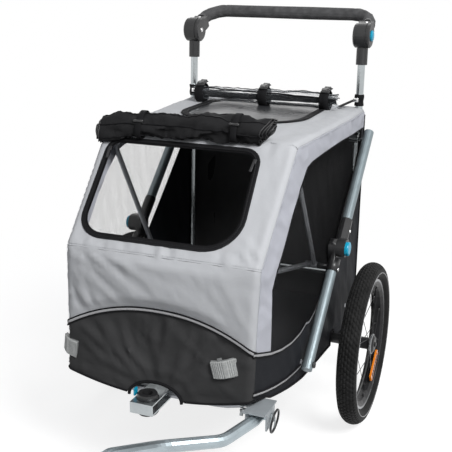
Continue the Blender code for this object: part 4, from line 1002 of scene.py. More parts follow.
def strip(name, surface, line, width, thick, mat, out=0.0, closed=False, sew=None, stands_for=None):
    # a flat tape, with a row of stitches near each edge where it is sewn down
    path, normals = line_on(surface, line, out, closed=closed)
    tape = sweep(path, band_section(width, thick), normals, closed)
    obj = put(tape, name, mat, stands_for=stands_for, angle=50)
    if sew:
        if closed:
            path, normals = path + path[:1], normals + normals[:1]
        rows = [stitches(lifted(path, normals, thick), normals, s * width * 0.36) for s in (-1, 1)]
        put(join(rows), name + "_stitches", sew)
    return obj


def cord_on(name, surface, line, radius, out=0.0, closed=False, sides=8):
    path, normals = line_on(surface, line, out + radius * 0.6, closed=closed)
    put(sweep(path, round_section(radius, sides), normals, closed), name, TAPE)


def welt(name, surface, line, mat, thread, sides=(0.0032,)):
    # a sewn seam: a narrow ridge where two edges are turned in, with top stitching beside it
    path, normals = line_on(surface, line, step=0.005)
    ridge = [(-0.0013, -0.0004), (-0.0007, 0.0005), (0.0007, 0.0005), (0.0013, -0.0004)]
    put(sweep(path, ridge, normals), name, mat)
    raised = lifted(path, normals, 0.0003)
    put(join([stitches(raised, normals, s) for s in sides]), name + "_stitches", thread)


def piping(name, surface, line, stands_for=None, width=0.0052, out=0.0012):
    # a reflective stripe between two cords
    strip(name + "_band", surface, line, width, 0.0010, SILVER, out, stands_for=stands_for)
    for k, by in enumerate((-width / 2 - 0.0014, width / 2 + 0.0014)):
        cord_on(f"{name}_cord_{k}", surface, offset(line, by), 0.0016, out * 0.5)


def zip_teeth(path, normals, pitch=0.0026):
    # small blocks along the path, set a little to the left and right in turn
    out, run, due = [], 0.0, 0.0
    for a, b, up in zip(path, path[1:], normals):
        step = b - a
        along = step.normalized()
        side = up.cross(along)
        turn = Matrix((along, side, up)).transposed().to_4x4()
        while due < run + step.length:
            shift = 0.0004 if len(out) % 2 else -0.0004
            spot = a + step * ((due - run) / step.length) + side * shift
            out.append(block((0.0017, 0.0032, 0.0014), Matrix.Translation(spot) @ turn, 0))
            due += pitch
        run += step.length
    return join(out)


piping("arch_pipe", wrap, [Vector((u, v)) for u, v in ARCH], "arch_piping")
for side, sign, surface in SIDES:
    piping("side_pipe_" + side, surface, list(SIDE_PIPE) + [Vector(p) for p in DIAGONAL[:3]])
    piping("low_pipe_" + side, surface, list(LOW_PIPE) + [(-0.250, 0.236)], width=0.0045)
    strip("diagonal_tape_" + side, surface, DIAGONAL[2:], 0.010, 0.0011, TAPE, 0.0006, sew=DARK_THREAD)
    cord_on("window_cord_" + side, surface, WINDOW_TOP, 0.0013)
    cord_on("side_hem_" + side, surface, SIDE_HEM, 0.0024, -0.0008)
    rows = [upper_arch[-1].y] + edge_rows(upper_arch[-1].y, ROOF_END_V, 0.02) + [ROOF_END_V]
    welt("edge_seam_" + side, wrap, edge_line(sign, rows), BAND, THREAD, (-0.0034, 0.0034))
    rows = [front_v(0.247)] + skirt_rows + [lower_arch[-1].y]
    welt("corner_seam_" + side, wrap, edge_line(sign, rows), BLACK, DARK_THREAD)
    kink = [Vector((sign * u, KINK_V + 0.004 * (1 - u / 0.21)))
            for u in np.linspace(0.165, girth(KINK_V), 12)]
    welt("kink_seam_" + side, wrap, kink, GREY, THREAD)
    cord_on("rear_edge_" + side, wrap, edge_line(sign, [ROOF_END_V] + rear_rows + [LAST_V]), 0.0016)

# back of the body: two zips, a net pocket and a strip of silver tape
REAR_TOP = ROOF_END_V + 0.030
for side, sign, _ in reversed(SIDES):
    line = [Vector((sign * 0.186, v)) for v in np.linspace(REAR_TOP, LAST_V - 0.030, 30)]
    strip("rear_zip_tape_" + side, wrap, line, 0.022, 0.0010, TAPE, 0.0010, sew=DARK_THREAD)
    path, normals = line_on(wrap, line, 0.0024)
    put(zip_teeth(path, normals, 0.0036), "rear_zip_" + side, PLASTIC)
POCKET_X, POCKET_V, POCKET_TALL = 0.135, REAR_TOP + 0.215, 0.170
pocket = rounded_loop([(-POCKET_X, POCKET_V), (POCKET_X, POCKET_V), (POCKET_X, POCKET_V + POCKET_TALL),
                       (-POCKET_X, POCKET_V + POCKET_TALL)], (0.020,) * 4)


def pocket_drape(u, v):
    t = min(1, max(0, (v - POCKET_V) / POCKET_TALL))
    return 0.012 * math.sin(math.pi * t) + rear_drape(u, v)


panel("rear_pocket", wrap, pocket, (), ROLL_MESH, pocket_drape, 0.011, 0.0030, 0.0008, fade=0.05)
strip("rear_pocket_tape", wrap, counter(pocket), 0.012, 0.0014, TAPE, 0.0030, True, DARK_THREAD)
line = [Vector((u, POCKET_V - 0.060)) for u in np.linspace(-0.168, 0.168, 30)]
strip("rear_silver", wrap, line, 0.020, 0.0009, SILVER, 0.0030, sew=DARK_THREAD)
welt("crease_seam", wrap, line_across(CREASE_V, 40, 0.001), GREY, THREAD, (-0.0036,))
cord_on("rear_top_cord", wrap, line_across(ROOF_END_V, 20), 0.0018)
cord_on("rear_hem", wrap, line_across(LAST_V, 20), 0.0024, -0.0008)
for side, sign, _ in reversed(SIDES):
    cord_on("hem_cord_" + side, wrap, [p for p in HEM if sign * p.x > NOTCH_HALF + 0.002], 0.0024, -0.0006)
cord_on("notch_cord", wrap, NOTCH, 0.0034, -0.0004, sides=10)

door, sky = counter(DOOR_LOOP), counter(SKY_LOOP)
strip("door_tape", wrap, offset(door, -0.0010, True), 0.0085, 0.0016, TAPE, 0.0002, True, DARK_THREAD)
cord_on("door_cord", wrap, offset(door, 0.0036, True), 0.0017, 0.0004, True)
strip("skylight_tape", wrap, offset(sky, 0.001, True), 0.016, 0.0016, TAPE, 0.0004, True, DARK_THREAD)
cord_on("skylight_cord", wrap, offset(sky, -0.0078, True), 0.0017, 0.0004, True)
path, normals = line_on(wrap, offset(door, 0.0064, True), closed=True)
put(zip_teeth(path + path[:1], normals), "door_zip", TAPE)
path, normals = line_on(wrap, offset(door, 0.0058, True), -0.0006, closed=True)
thin = [(-0.0026, -0.0003), (-0.0026, 0.0003), (0.0026, 0.0003), (0.0026, -0.0003)]
put(sweep(path, thin, normals, True), "door_zip_tape", TAPE)


def zip_pull(name, place):
    # a slider with its hanging tab
    body = block((0.0115, 0.0080, 0.0042), place, 0.0012)
    bridge = block((0.0060, 0.0022, 0.0040), shifted(place, 0, 0, 0.0030), 0.0006)
    tab = block((0.0240, 0.0056, 0.0013), shifted(place, 0.0140, 0, 0.0035), 0.0006)
    put(join([body, bridge, tab]), name, PULL)


def facing(surface, u, v, out, turn):
    # a place on the surface, its z pointing outward
    here = surface(u, v, out)
    up = (surface(u, v, out + 0.002) - here).normalized()
    along = (surface(u + 0.002, v, out) - surface(u - 0.002, v, out)).normalized()
    side = up.cross(along).normalized()
    basis = Matrix((side.cross(up), side, up)).transposed().to_4x4()
    return Matrix.Translation(here) @ basis @ Matrix.Rotation(math.radians(turn), 4, "Z")


for side, u, turn in (("left", 0.144, -95), ("right", -0.189, -85)):
    zip_pull("door_zip_pull_" + side, facing(wrap, u, CREASE_V + 0.235, 0.0030, turn))


# Rolls on the roof

def spiral_roll(name, path, size, lean, turns, sheet, mat, seed, crumple, start, rings, stands_for,
                bulge=None, skew=(0.0, 0.0), cone=0.0):
    # a sheet rolled up loosely: an open oval spiral carried along the path, with its own creases.
    # skew and cone pull the layers out of line at the two ends.
    twist, tip_at, inner = 0.9, 0.22, 0.26
    path = [Vector(p) for p in path]
    run = distances(path)
    count = int(turns * 22)
    tall = Vector((0, math.cos(lean), math.sin(lean)))
    deep = Vector((0, -math.sin(lean), math.cos(lean)))
    verts, faces, uv = [], [], []
    for m in np.linspace(0, 1, rings):
        k, t = stretch(run, m * run[-1])
        p = path[k].lerp(path[k + 1], t)
        swell = bulge(m) if bulge else 1.0
        tip = smooth((m - 1 + tip_at) / tip_at) if m > 0.5 else smooth((tip_at - m) / tip_at)
        pull, way = (skew[0], -1) if m < 0.5 else (skew[1], 1)
        for layer in (0, 1):
            for j in range(count + 1):
                t = j / count
                a = start + 2 * math.pi * turns * t + twist * m
                seat = Vector((m * 7, math.cos(a) * 1.3, math.sin(a) * 1.3 + seed))
                wave = noise.noise(seat) - 0.6 * abs(noise.noise(seat * 2.1)) + 0.4 * noise.noise(seat * 4.3)
                r = (inner + (1 - inner) * t) * (1 + crumple * wave * (0.4 + 0.6 * t)) * swell
                r = min(r, 1.06)
                slip = tip * pull * math.cos(a) * r + tip * cone * (1 - t) * way
                slip += tip * crumple * 0.016 * noise.noise(Vector((t * 11, seed, 1)))
                spot = p + tall * math.cos(a) * (r * size[0] - layer * sheet)
                verts.append(spot + deep * math.sin(a) * (r * size[1] - layer * sheet) + Vector((slip, 0, 0)))
                uv.append((m * run[-1], t * turns * 2 * math.pi * size[0] * 0.65))
    wide = count + 1
    ring = 2 * wide
    for i in range(rings - 1):
        here, ahead = i * ring, (i + 1) * ring
        for j in range(count):
            a, b = here + j, ahead + j
            faces += [(a, a + 1, b + 1, b), (a + wide, b + wide, b + wide + 1, a + wide + 1)]
        faces.append((here, ahead, ahead + wide, here + wide))
        faces.append((here + count + wide, ahead + count + wide, ahead + count, here + count))
    for first, step in ((0, 1), ((rings - 1) * ring, -1)):
        faces += [(a, a + wide, a + wide + 1, a + 1)[::step] for a in range(first, first + count)]
    made = put(mesh_of(verts, faces, uv), name, mat, stands_for=stands_for, angle=70)
    return verts, ring, count


def edge_cord(name, verts, ring, index, lift, radius):
    # a bound edge that runs the length of a roll on one line of its spiral
    rows = [verts[k:k + ring] for k in range(0, len(verts), ring)]
    path = [row[index] for row in rows]
    outward = [(p - sum(row, Vector()) / ring).normalized() for p, row in zip(path, rows)]
    put(sweep(lifted(path, outward, lift), round_section(radius, 7), outward), name, TAPE)


# the net door, rolled up loosely and tied on the ridge between slope and roof
ROLL_LEAN = math.radians(54)
DOOR_ROLL = (0.0330, 0.0185)
roll_line = [(-0.218, -0.2985, 0.7345), (-0.16, -0.2955, 0.7455), (-0.06, -0.2935, 0.7535),
             (0.04, -0.2920, 0.7560), (0.11, -0.2895, 0.7560), (0.156, -0.2880, 0.7560)]


def roll_bulge(m):
    return 0.93 + 0.07 * math.cos(2 * math.pi * m) - 0.04 * math.sin(9 * m)


verts, ring, count = spiral_roll(
    "door_roll_fabric", roll_line, DOOR_ROLL, ROLL_LEAN, turns=4.6, sheet=0.0009, mat=ROLL_MESH, seed=3.0,
    crumple=0.50, start=0.4, rings=72, stands_for="door_roll", bulge=roll_bulge, skew=(0.004, 0.017),
    cone=0.015)
edge_cord("door_roll_edge", verts, ring, count, 0.0006, 0.0017)
for k, (back, radius) in enumerate(((5, 0.0013), (9, 0.0017), (13, 0.0011), (17, 0.0015), (20, 0.0012))):
    edge_cord(f"door_roll_fold_{k}", verts, ring, count - back, 0.0007, radius)
for k, (first, way) in enumerate(((0, -1), (len(verts) - ring, 1))):
    side = Vector((way, 0, 0))
    hem = lifted(verts[first:first + count + 1], [side] * (count + 1), 0.0008)
    put(sweep(hem, round_section(0.0011, 6), [side] * len(hem)), f"door_roll_hem_{k}", PLASTIC)

# the clear cover, rolled up at the back of the roof
COVER_R, COVER_LIFT = 0.0215, 0.0006
cover_v = roof_v(0.150)
cover_line = [wrap(x, cover_v, COVER_R + COVER_LIFT + 0.0015 * math.sin(x * 17))
              for x in np.linspace(-0.202, 0.190, 9)]
verts, ring, count = spiral_roll(
    "rain_cover_film", cover_line, (COVER_R, COVER_R * 0.98), math.radians(100), turns=2.7, sheet=0.0006,
    mat=CLEAR, seed=9.0, crumple=0.26, start=3.9, rings=70, stands_for="rain_cover")
edge_cord("cover_edge", verts, ring, count - 6, 0.0002, 0.0019)
for k, radius in ((9, 0.0012), (12, 0.0017), (15, 0.0013)):
    edge_cord(f"cover_hem_{k}", verts, ring, count - k, -0.0002, radius)


def hoop(name, centre, size, lean, width, thick, sides=30):
    # a strap round a roll that runs along X
    tall = Vector((0, math.cos(lean), math.sin(lean)))
    deep = Vector((0, -math.sin(lean), math.cos(lean)))
    ring, outward = [], []
    for k in range(sides):
        a = 2 * math.pi * k / sides
        ring.append(Vector(centre) + (tall * math.cos(a) * size[0] + deep * math.sin(a) * size[1]))
        outward.append((tall * math.cos(a) / size[0] + deep * math.sin(a) / size[1]).normalized())
    put(sweep(ring, band_section(width, thick), outward, True), name, TAPE, angle=50)


def tail_of(name, path, width, outward):
    # a flat strap end
    put(sweep(path, band_section(width, 0.0014), [Vector(outward)] * len(path)), name, TAPE, angle=50)


def buckle(name, place):
    # a side release buckle: frame, tongue, two prongs and the bar that holds the strap
    parts = [block((0.0250, 0.0200, 0.0052), place, 0.0018, 3),
             block((0.0120, 0.0160, 0.0042), shifted(place, 0.0160, 0, 0), 0.0012)]
    for y in (0.0105, -0.0105):
        parts.append(block((0.0090, 0.0030, 0.0046), shifted(place, 0.0060, y, 0), 0.0010))
    parts.append(block((0.0030, 0.0190, 0.0016), shifted(place, -0.0050, 0, 0.0030), 0.0006))
    put(join(parts), name, PLASTIC)


for k, x in enumerate((-0.178, -0.004, 0.158)):
    centre = wrap(x, cover_v, COVER_R + COVER_LIFT)
    top = COVER_R + 0.0036
    hoop(f"cover_strap_{k}", centre, (COVER_R + 0.0010,) * 2, 0.0, 0.0240, 0.0018)
    hoop(f"cover_strap_end_{k}", centre + Vector((0.004, 0, 0)), (COVER_R + 0.0028,) * 2, 0.0, 0.0130, 0.0014)
    place = Matrix.Translation(centre + Vector((0.002, -0.008, top)))
    place = place @ Matrix.Rotation(math.radians(18), 4, "X") @ Matrix.Rotation(math.radians(90), 4, "Z")
    buckle(f"cover_buckle_{k}", place)
    tail = [centre + Vector((0.001 + 0.0022 * t, 0.002 - 0.0012 * t, top + 0.0006 * t * (4 - t * 0.7)))
            for t in range(6)]
    tail_of(f"cover_tail_{k}", tail, 0.018, (0, -0.3, 1))
barrel = [(-0.0115, 0), (-0.0115, 0.0022), (-0.009, 0.0034), (-0.003, 0.0028)]
barrel += [(-along, r) for along, r in reversed(barrel)]
for k, x in enumerate((-0.125, 0.092)):
    y, z = (np.interp(x, [p[0] for p in roll_line], [p[n] for p in roll_line]) for n in (1, 2))
    hoop(f"door_loop_{k}", (x, y, z), (DOOR_ROLL[0] * 0.96, DOOR_ROLL[1] * 1.02), ROLL_LEAN, 0.0140, 0.0014)
    put(turned(barrel, (x, y - 0.0190, z + 0.010), sides=14), f"door_toggle_{k}", PLASTIC)

def loop_swell(t, sign):
    return 1.0 + 0.06 * math.sin(t * 9 + sign) - 0.05 * (1 - t)


for side, sign, _ in SIDES:
    # the fabric loop that holds the roof corner to the upright, with its tab and buckle
    heights = [0.7475 + 0.0285 * k / 8 for k in range(9)]
    rings = [Vector((sign * UP_X, along_upright(z), z)) for z in heights]
    section = [(0.0118 * math.cos(a) * (1 + 0.05 * math.cos(3 * a)), 0.0118 * math.sin(a))
               for a in np.linspace(0, 2 * math.pi, 22, endpoint=False)]
    loop = sweep(rings, section, [Vector((0, 1, 0))] * len(rings), scale=lambda t: loop_swell(t, sign))
    put(loop, "corner_loop_" + side, TAPE, "rear", angle=50)
    y = along_upright(0.760)
    tab = [Vector((sign * (UP_X - 0.010 - 0.0045 * k), y - 0.0075 - 0.0042 * k, 0.7620 - 0.0022 * k))
           for k in range(8)]
    tail_of("corner_tab_" + side, tab, 0.020, (0, 0.1, 1))
    place = Matrix.Translation((sign * (UP_X - 0.006), y - 0.0135, 0.7630))
    place = place @ Matrix.Rotation(math.radians(90), 4, "X")
    put(block((0.0130, 0.0100, 0.0030), place, 0.0010), "corner_buckle_" + side, RIVET, "rear")


# Rivets and collars

def rivet(name, spot, axis, radius, body, high):
    # a dished rivet head
    profile = [(-0.0010, 0), (-0.0010, radius), (high * 0.35, radius), (high * 0.8, radius * 0.72),
               (high, radius * 0.42), (high * 0.72, radius * 0.30), (high * 0.72, 0)]
    put(turned(profile, spot, axis, 20), name, RIVET, body)


for side, sign, _ in SIDES:
    out = Vector((sign, 0, 0))
    lower = sided(sign, strut_point(KNEE_AT - KNEE_END - 0.026, 0, LOW_X + SLEEVE_R))
    rivet("lower_rivet_" + side, lower, out, 0.0042, "lower_struts", 0.0022)
    upper = sided(sign, strut_point(KNEE_AT + KNEE_END + 0.032, 0, HIGH_X + SLEEVE_R))
    rivet("upper_rivet_" + side, upper, out, 0.0042, "upper_struts", 0.0022)
    hub = Vector((sign * (UP_X - DRUM_W / 2 - GAP - DISC_T), GRIP_Y, GRIP_Z))
    rivet("hub_rivet_" + side, hub, -out, 0.0058, "handle", 0.0020)
    pivot = Vector((sign * UP_X, GRIP_Y, GRIP_Z))
    arm = Vector((0, -math.sin(ARM_TILT), math.cos(ARM_TILT)))
    along = Vector((0, math.cos(ARM_TILT), math.sin(ARM_TILT)))
    rivet("arm_rivet_" + side, pivot + along * 0.0435 + arm * 0.0146, arm, 0.0036, "handle", 0.0015)
    collar = [(-0.0040, BAR_R + 0.0003), (-0.0040, FOAM_R - 0.0012), (-0.0030, FOAM_R + 0.0004)]
    collar += [(-x, r) for x, r in reversed(collar)]
    put(turned(collar, pivot + along * 0.0562, along, 28), "foam_collar_" + side, PLASTIC, "handle")


# Wheels

# one side of the tyre from bead to crown, as (across, radius)
HALF_TYRE = [(-0.0100, 0.1540), (-0.0112, 0.1600), (-0.0135, 0.1628), (-0.0150, 0.1634), (-0.0190, 0.1655),
             (-0.0212, 0.1690), (-0.0230, 0.1735), (-0.0235, 0.1775), (-0.0231, 0.1822), (-0.0216, 0.1862),
             (-0.0186, 0.1900), (-0.0150, 0.1931), (-0.0110, 0.1953), (-0.0060, 0.1969), (0.0, 0.1974)]
TYRE = HALF_TYRE + [(-x, r) for x, r in HALF_TYRE[-2::-1]]
# rows of tread blocks as (across, width, phase)
TREAD = ((0.0, 0.0058, 0.0), (0.0072, 0.0056, 0.5), (0.0140, 0.0056, 0.0), (0.0196, 0.0040, 0.5))


def on_wheel(centre, x, radius, a):
    return centre + Vector((x, radius * math.cos(a), radius * math.sin(a)))


def tread(centre, blocks=92):
    # small blocks in staggered rows, wrapped round the crown
    verts, faces = [], []
    xs, rs = zip(*[p for p in TYRE if p[1] > 0.178])
    step = 2 * math.pi / blocks
    for x, wide, phase in [(row[0] * s, *row[1:]) for row in TREAD for s in ((1, -1) if row[0] else (1,))]:
        slant = math.copysign(0.35, x) if x else 0.0
        for k in range(blocks):
            base = len(verts)
            for lift, shrink in ((-0.0010, 1.0), (0.0014, 0.90)):
                for dx, da in ((-1, -1), (1, -1), (1, 1), (-1, 1)):
                    px = x + dx * wide / 2 * shrink
                    a = (k + phase) * step + da * step * 0.40 * shrink + slant * step * dx * 0.3
                    r = float(np.interp(px, xs, rs)) + lift * (1 - 1.2 * abs(px) / 0.045)
                    verts.append(on_wheel(centre, px, r, a))
            for face in ((4, 5, 6, 7), (0, 4, 7, 3), (1, 2, 6, 5), (0, 1, 5, 4), (3, 7, 6, 2), (0, 3, 2, 1)):
                faces.append(tuple(base + j for j in face))
    return mesh_of(verts, faces)


def spoke_ends(centre):
    # a nipple at the rim and a head at the hub for each spoke, pointing the spoke's way
    nipple = [(0, 0), (0, 0.0026), (0.003, 0.0024), (0.0095, 0.0017), (0.0100, 0)]
    head = [(-0.0012, 0), (-0.0012, 0.0019), (0.0006, 0.0019), (0.0012, 0.0008), (0.0012, 0)]
    bits = []
    for k in range(SPOKES):
        flange = 1 if k % 2 else -1
        sense = 1 if (k // 2) % 2 else -1
        a = 2 * math.pi * k / SPOKES
        lean = a + math.radians(52) * sense
        rim = on_wheel(centre, flange * (0.0045 + sense * 0.00045), 0.1428, a)
        hub = on_wheel(centre, flange * (0.018 + sense * 0.0005), 0.0215, lean)
        bits.append(turned(nipple, rim, (hub - rim).normalized(), 8))
        bits.append(turned(head, hub + Vector((flange * 0.0016, 0, 0)), (flange, 0, 0), 8))
    return join(bits)


for side, sign, _ in SIDES:
    centre = Vector((sign * WHEEL_X, 0, WHEEL_R))
    body = "wheel_" + side
    inner = [(x * 0.80, max(0.1545, r - 0.0030)) for x, r in TYRE[::-1]]
    casing = turned(TYRE + inner + TYRE[:1], centre, sides=96)
    put(casing, "tyre_casing_" + side, RUBBER, body, "tyre_" + side)
    put(tread(centre), "tyre_tread_" + side, RUBBER, body)
    for face, word in ((1, "out"), (-1, "in")):
        low, high = sign * face * 0.0234 - 0.0002, sign * face * 0.0241
        line = [(low, 0.1748), (high, 0.1752), (high, 0.1762), (low, 0.1766), (low, 0.1748)]
        put(turned(line, centre, sides=96), f"tyre_line_{side}_{word}", SILVER, body)
    put(spoke_ends(centre), "spoke_nipples_" + side, RIM_BLACK, body)
    out = Vector((0, math.cos(math.radians(205)), math.sin(math.radians(205))))
    stem = [(0, 0), (0, 0.0032), (0.010, 0.0032), (0.012, 0.0024), (0.020, 0.0024), (0.0205, 0.0035),
            (0.029, 0.0032), (0.031, 0.0018), (0.031, 0)]
    put(turned(stem, centre + out * 0.1425, -out, 14), "valve_" + side, PLASTIC, body)
    cap = [(0.0186, 0.0168), (0.0200, 0.0192), (0.0232, 0.0192), (0.0250, 0.0178), (0.0256, 0.0122),
           (0.0206, 0.0118), (0.0186, 0.0122), (0.0186, 0.0168)]
    put(turned(cap, centre, (sign, 0, 0)), "hub_cap_" + side, PLASTIC, body)


# Front receiver, knee sleeves and foam grip

def reshaped(source, name, mat, body, move, cuts=0):
    # the solid's own surface, moved by a rule into the finer form
    bm = bmesh.new()
    bm.from_mesh(NODES[source].data)
    bmesh.ops.remove_doubles(bm, verts=bm.verts, dist=1e-6)
    if cuts:
        long = [e for e in bm.edges if e.calc_length() > 0.006]
        bmesh.ops.subdivide_edges(bm, edges=long, cuts=cuts, use_grid_fill=True)
    bm.normal_update()
    for v in bm.verts:
        v.co = move(v.co.copy(), v.normal) - SHIFT
    bmesh.ops.recalc_face_normals(bm, faces=bm.faces)
    return put(to_mesh(bm), name, mat, body, source, angle=40)


def raised(by):
    # the lower part of the receiver moves up
    return lambda p, n: Vector((p.x, p.y, p.z + by if p.z < 0.215 else p.z))


def shallower(p, n):
    return Vector((p.x, p.y, max(p.z, 0.2375)))


reshaped("front_receiver", "receiver_channel", ZINC, "chassis", raised(0.0145))
reshaped("receiver_release", "receiver_button", TEAL, "chassis", shallower)
reshaped("receiver_bush", "receiver_lock", PLASTIC, "chassis", raised(0.0105))

SLEEVE_FOOT, SLEEVE_CUT = KNEE_AT - KNEE_END - SLEEVE_L, 0.028
ALONG = strut_point(1.0) - strut_point(0.0)


def shortened(p, n):
    # the sleeve's lower end moves up the strut
    return p + ALONG * SLEEVE_CUT if (p - SHIFT - strut_point(0)).dot(ALONG) < SLEEVE_FOOT + 0.005 else p


def squeezed(p, n):
    # foam worn uneven by hands
    return p + n * (0.0010 * noise.noise(p * 38) + 0.0007 * noise.noise(p * 95) - 0.0002)


for side, _, _ in SIDES:
    reshaped("lower_knee_" + side, "knee_sleeve_" + side, PLASTIC, "lower_struts", shortened)
grip = reshaped("handle_grip", "handle_foam", FOAM, "handle", squeezed, 2)


# Drawbar pin fittings and spoke reflector frames

X_AXIS = Vector((1, 0, 0))
low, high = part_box("drawbar_pin")
pin = (low + high) / 2 - SHIFT
ring_path = []
for k in range(22):
    a = 2 * math.pi * k / 22
    ring_path.append(Vector((high.x + 0.0022 + 0.0030 * math.sin(a), pin.y + 0.0225 * math.cos(a),
                             high.z - 0.0150 + 0.0235 * math.sin(a))))
put(sweep(ring_path, round_section(0.0023), [X_AXIS] * 22, True), "pin_ring", RIM_BLACK, "drawbar_pin")
# a wing nut on the inner flange of the bracket, above the end of the pin
PIN_TIP = 0.011
nut = Vector((low.x + PIN_TIP, pin.y - 0.012, pin.z + 0.021))
boss = [(-0.0004, 0), (-0.0004, 0.0062), (0.0018, 0.0068), (0.0080, 0.0060), (0.0100, 0.0050),
        (0.0108, 0.0026), (0.0155, 0.0024), (0.0162, 0)]
bits = [turned(boss, nut, (-1, 0, 0), 20)]
for way in (-1, 1):
    place = Matrix.Translation(nut + Vector((-0.0125, 0, 0.0078 * way))) @ Matrix.Rotation(0.5 * way, 4, "X")
    bits.append(block((0.0070, 0.0034, 0.0092), place))
put(join(bits), "bracket_wing_nut", DARK_STEEL, "chassis")
clip = [Vector((low.x + 0.004, pin.y + 0.012 * math.sin(t * 0.9) - 0.004, pin.z + 0.008 - 0.0035 * t))
        for t in range(8)]
put(sweep(clip, round_section(0.0011, 7), [X_AXIS] * 8), "pin_cotter", RIVET, "drawbar_pin")

stud = [(0, 0), (0, 0.0024), (0.0010, 0.0022), (0.0014, 0.0010), (0.0014, 0)]
for side, _, _ in SIDES:
    low, high = (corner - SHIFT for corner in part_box("spoke_reflector_" + side))
    spot = (low + high) / 2
    out = Vector((0, spot.y, spot.z - WHEEL_R)).normalized()
    along = Vector((0, -out.z, out.y))
    long = 0.5 * max(high.y - low.y, high.z - low.z)
    turn = Matrix((along, X_AXIS, out)).transposed().to_4x4()
    bits = []
    for face, x in ((1, high.x + 0.0002), (-1, low.x - 0.0002)):
        here = Vector((x, spot.y, spot.z))
        place = Matrix.Translation(here) @ turn
        bits.append(block((long * 1.55, 0.0014, 0.0044), place, 0.0003))
        for s in (-1, 1):
            bits.append(block((0.0024, 0.0012, 0.0200), shifted(place, s * long * 0.80, 0, 0), 0.0003))
            bits.append(turned(stud, here + along * s * long * 0.45, (face, 0, 0), 10))
    put(join(bits), "spoke_reflector_frame_" + side, RIM_BLACK, "wheel_" + side)


# Front reflectors

def ribbed_lens(name, stands_for, centre, yaw, roll, wide):
    # a moulded lens, bowed outwards: fine upright ribs on both sides of a plain bar, with a rim and a tab
    tall, bow = 0.037, 0.045
    slope = math.atan2(BODY[1][0] - BODY[0][0], BODY[1][1] - BODY[0][1])
    place = Matrix.Translation(centre) @ Matrix.Rotation(math.radians(yaw), 4, "Z")
    place = place @ Matrix.Rotation(math.radians(roll), 4, "Y") @ Matrix.Rotation(-slope, 4, "X")

    def shell(half, height, front, back, rib, count):
        bm = bmesh.new()
        rows = []
        for k in range(count + 1):
            t = -1 + 2 * k / count
            a = half * t / bow
            ribbed = 0.14 < abs(t) < 0.92
            grow = rib * (1 if k % 2 else -1) if ribbed else rib * 1.8
            edge, face = bow + front - 0.0016, bow + front + grow
            corners = ((edge, -1), (face, -0.9), (face, 0.9), (edge, 1), (bow + back, 1), (bow + back, -1))
            rows.append([bm.verts.new(place @ Vector((math.sin(a) * r, bow - math.cos(a) * r, height * s)))
                         for r, s in corners])
        for a, b in zip(rows, rows[1:]):
            for i in range(6):
                bm.faces.new((a[i], a[(i + 1) % 6], b[(i + 1) % 6], b[i]))
        bm.faces.new(rows[0])
        bm.faces.new(rows[-1][::-1])
        bmesh.ops.recalc_face_normals(bm, faces=bm.faces)
        return to_mesh(bm)

    front = shell(wide / 2, tall / 2, 0.0040, 0.0010, 0.00055, 30)
    put(front, name, LENS, stands_for=stands_for, angle=20)
    back = shell(wide / 2 + 0.0014, tall / 2 + 0.0016, 0.0012, -0.0012, 0.0, 24)
    tab = block((0.0100, 0.0016, 0.0070), shifted(place, -0.008, 0.0006, tall / 2 + 0.0030), 0.0006)
    put(join([back, tab]), name + "_back", LENS_BACK, angle=30)


ribbed_lens("front_lens_left", "front_reflector_left", (0.156, -0.4970, 0.3130), 14, -14, 0.058)
ribbed_lens("front_lens_right", "front_reflector_right", (-0.2075, -0.4860, 0.2955), -30, 6, 0.048)

# Finishes of the solids

FINISH = {
    "base_frame": BASE_STEEL, "axle_beam": RIM_BLACK, "floor_board": FLOOR_CLOTH, "drawbar_bracket": PLATE,
    "front_receiver": ZINC, "receiver_bush": PLASTIC, "receiver_release": TEAL, "axle": RIM_BLACK,
    "rear_frame": STEM, "handle_socket": PLASTIC, "handle_hub": PLASTIC, "handle_bar": FRAME_STEEL,
    "handle_grip": FOAM, "handle_button": TEAL, "lower_strut": TUBE, "upper_strut": TUBE,
    "lower_knee": PLASTIC, "upper_knee": PLASTIC, "knee_button": TEAL, "crease_bow": FRAME_STEEL,
    "kink_bow": FRAME_STEEL, "drawbar": DRAW, "hitch_pin": ZINC, "drawbar_pin": ZINC, "hitch_head": ZINC,
    "wheel": RIM_MAT, "hub_button": PLASTIC, "spoke_reflector": AMBER,
}
for name, obj in NODES.items():
    key = name.replace("_left", "").replace("_right", "")
    if key in FINISH:
        obj.data.materials.clear()
        obj.data.materials.append(FINISH[key])


# Stage, light and camera

def seen_rays(tree):
    # the camera's own rays, and the ones by which the object mirrors or lets through its surroundings
    rays = node(tree, "LightPath").outputs
    seen = maths(tree, "MAXIMUM", rays["Is Camera Ray"], rays["Is Glossy Ray"])
    return maths(tree, "MAXIMUM", seen, rays["Is Transmission Ray"])


def floor_material():
    # pale floor that keeps the shadow near the object and runs out into plain white further off
    glow, near, far = 0.79, 0.75, 1.9
    look = Look("stage_floor", (0.36, 0.36, 0.36), 0.9, Specular_IOR_Level=0.0, Emission_Color=(1, 1, 1, 1))
    seen = seen_rays(look.tree)
    coords = look.place()
    distance = node(look.tree, "VectorMath")
    distance.operation = "LENGTH"
    feed(look.tree, distance.inputs[0], coords)
    edge = node(look.tree, "MapRange", From_Min=near, From_Max=far, Value=distance.outputs["Value"])
    edge.interpolation_type = "SMOOTHSTEP"
    look.set(Base_Color=look.grey(look.noise(3.0, 2.0, coords), 0.355, 0.365))
    look.set(Emission_Strength=look.math("MULTIPLY", seen, glow))
    white = node(look.tree, "Emission", Strength=seen)
    mix = node(look.tree, "MixShader", Fac=edge.outputs["Result"])
    feed(look.tree, mix.inputs[1], look.shader.outputs["BSDF"])
    feed(look.tree, mix.inputs[2], white.outputs["Emission"])
    feed(look.tree, look.tree.nodes["Material Output"].inputs["Surface"], mix.outputs["Shader"])
    return look.mat


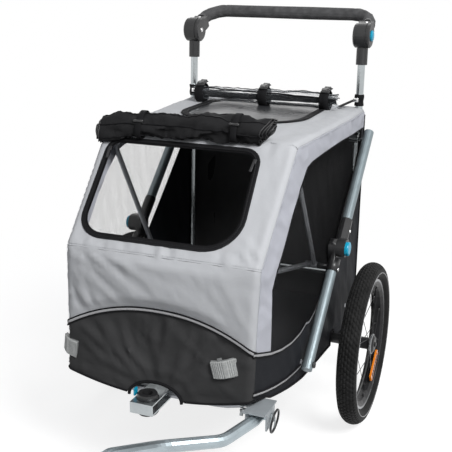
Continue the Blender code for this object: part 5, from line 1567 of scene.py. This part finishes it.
bpy.ops.mesh.primitive_plane_add(size=60, location=(0, 0, 0))
floor = bpy.context.object
floor.name = "stage_floor"
floor.data.materials.append(floor_material())

world = bpy.data.worlds.new("world")
bpy.context.scene.world = world
world.use_nodes = True
tree = world.node_tree
sky_light = mixed(tree, seen_rays(tree), (0.29, 0.295, 0.305, 1), (1, 1, 1, 1))
feed(tree, tree.nodes["Background"].inputs["Color"], sky_light)


def lamp(name, spot, target, size, power, tint=(1, 1, 1)):
    data = bpy.data.lights.new(name, "AREA")
    data.shape = "RECTANGLE"
    data.size, data.size_y = size
    data.energy = power
    data.color = tint
    obj = bpy.data.objects.new(name, data)
    bpy.context.scene.collection.objects.link(obj)
    obj.location = spot
    obj.rotation_euler = (Vector(target) - Vector(spot)).to_track_quat("-Z", "Y").to_euler()


MIDDLE = (0.0, AXLE_Y, 0.45)
lamp("key", (1.90, AXLE_Y - 1.58, 2.45), MIDDLE, (1.2, 1.2), 93)
lamp("fill", (-2.6, AXLE_Y - 2.2, 1.5), MIDDLE, (1.6, 1.6), 7, (0.97, 0.98, 1.0))
lamp("back", (-0.6, AXLE_Y + 2.6, 2.4), MIDDLE, (1.6, 1.2), 16)

# the camera that the photograph was taken with, as fitted; the focal length is in pixels of its 452
AZ, EL, ROLL = math.radians(21.624), math.radians(15.941), math.radians(0.797)
DISTANCE, FOCAL, FRAME_PX, SENSOR = 2.4, 865.176, 452, 36.0
TARGET = Vector((-0.123, 0.197, 0.393)) + SHIFT
toward = Vector((math.sin(AZ) * math.cos(EL), -math.cos(AZ) * math.cos(EL), math.sin(EL)))
right = Vector((math.cos(AZ), math.sin(AZ), 0))
up = toward.cross(right)
rolled_right = right * math.cos(ROLL) + up * math.sin(ROLL)
rolled_up = up * math.cos(ROLL) - right * math.sin(ROLL)
camera = bpy.data.objects.new("camera", bpy.data.cameras.new("camera"))
bpy.context.scene.collection.objects.link(camera)
camera.data.sensor_width = SENSOR
camera.data.lens = FOCAL / FRAME_PX * SENSOR
basis = Matrix((rolled_right, rolled_up, toward)).transposed().to_4x4()
camera.matrix_world = Matrix.Translation(TARGET + toward * DISTANCE) @ basis
bpy.context.scene.camera = camera
bpy.context.scene.view_settings.view_transform = "Standard"
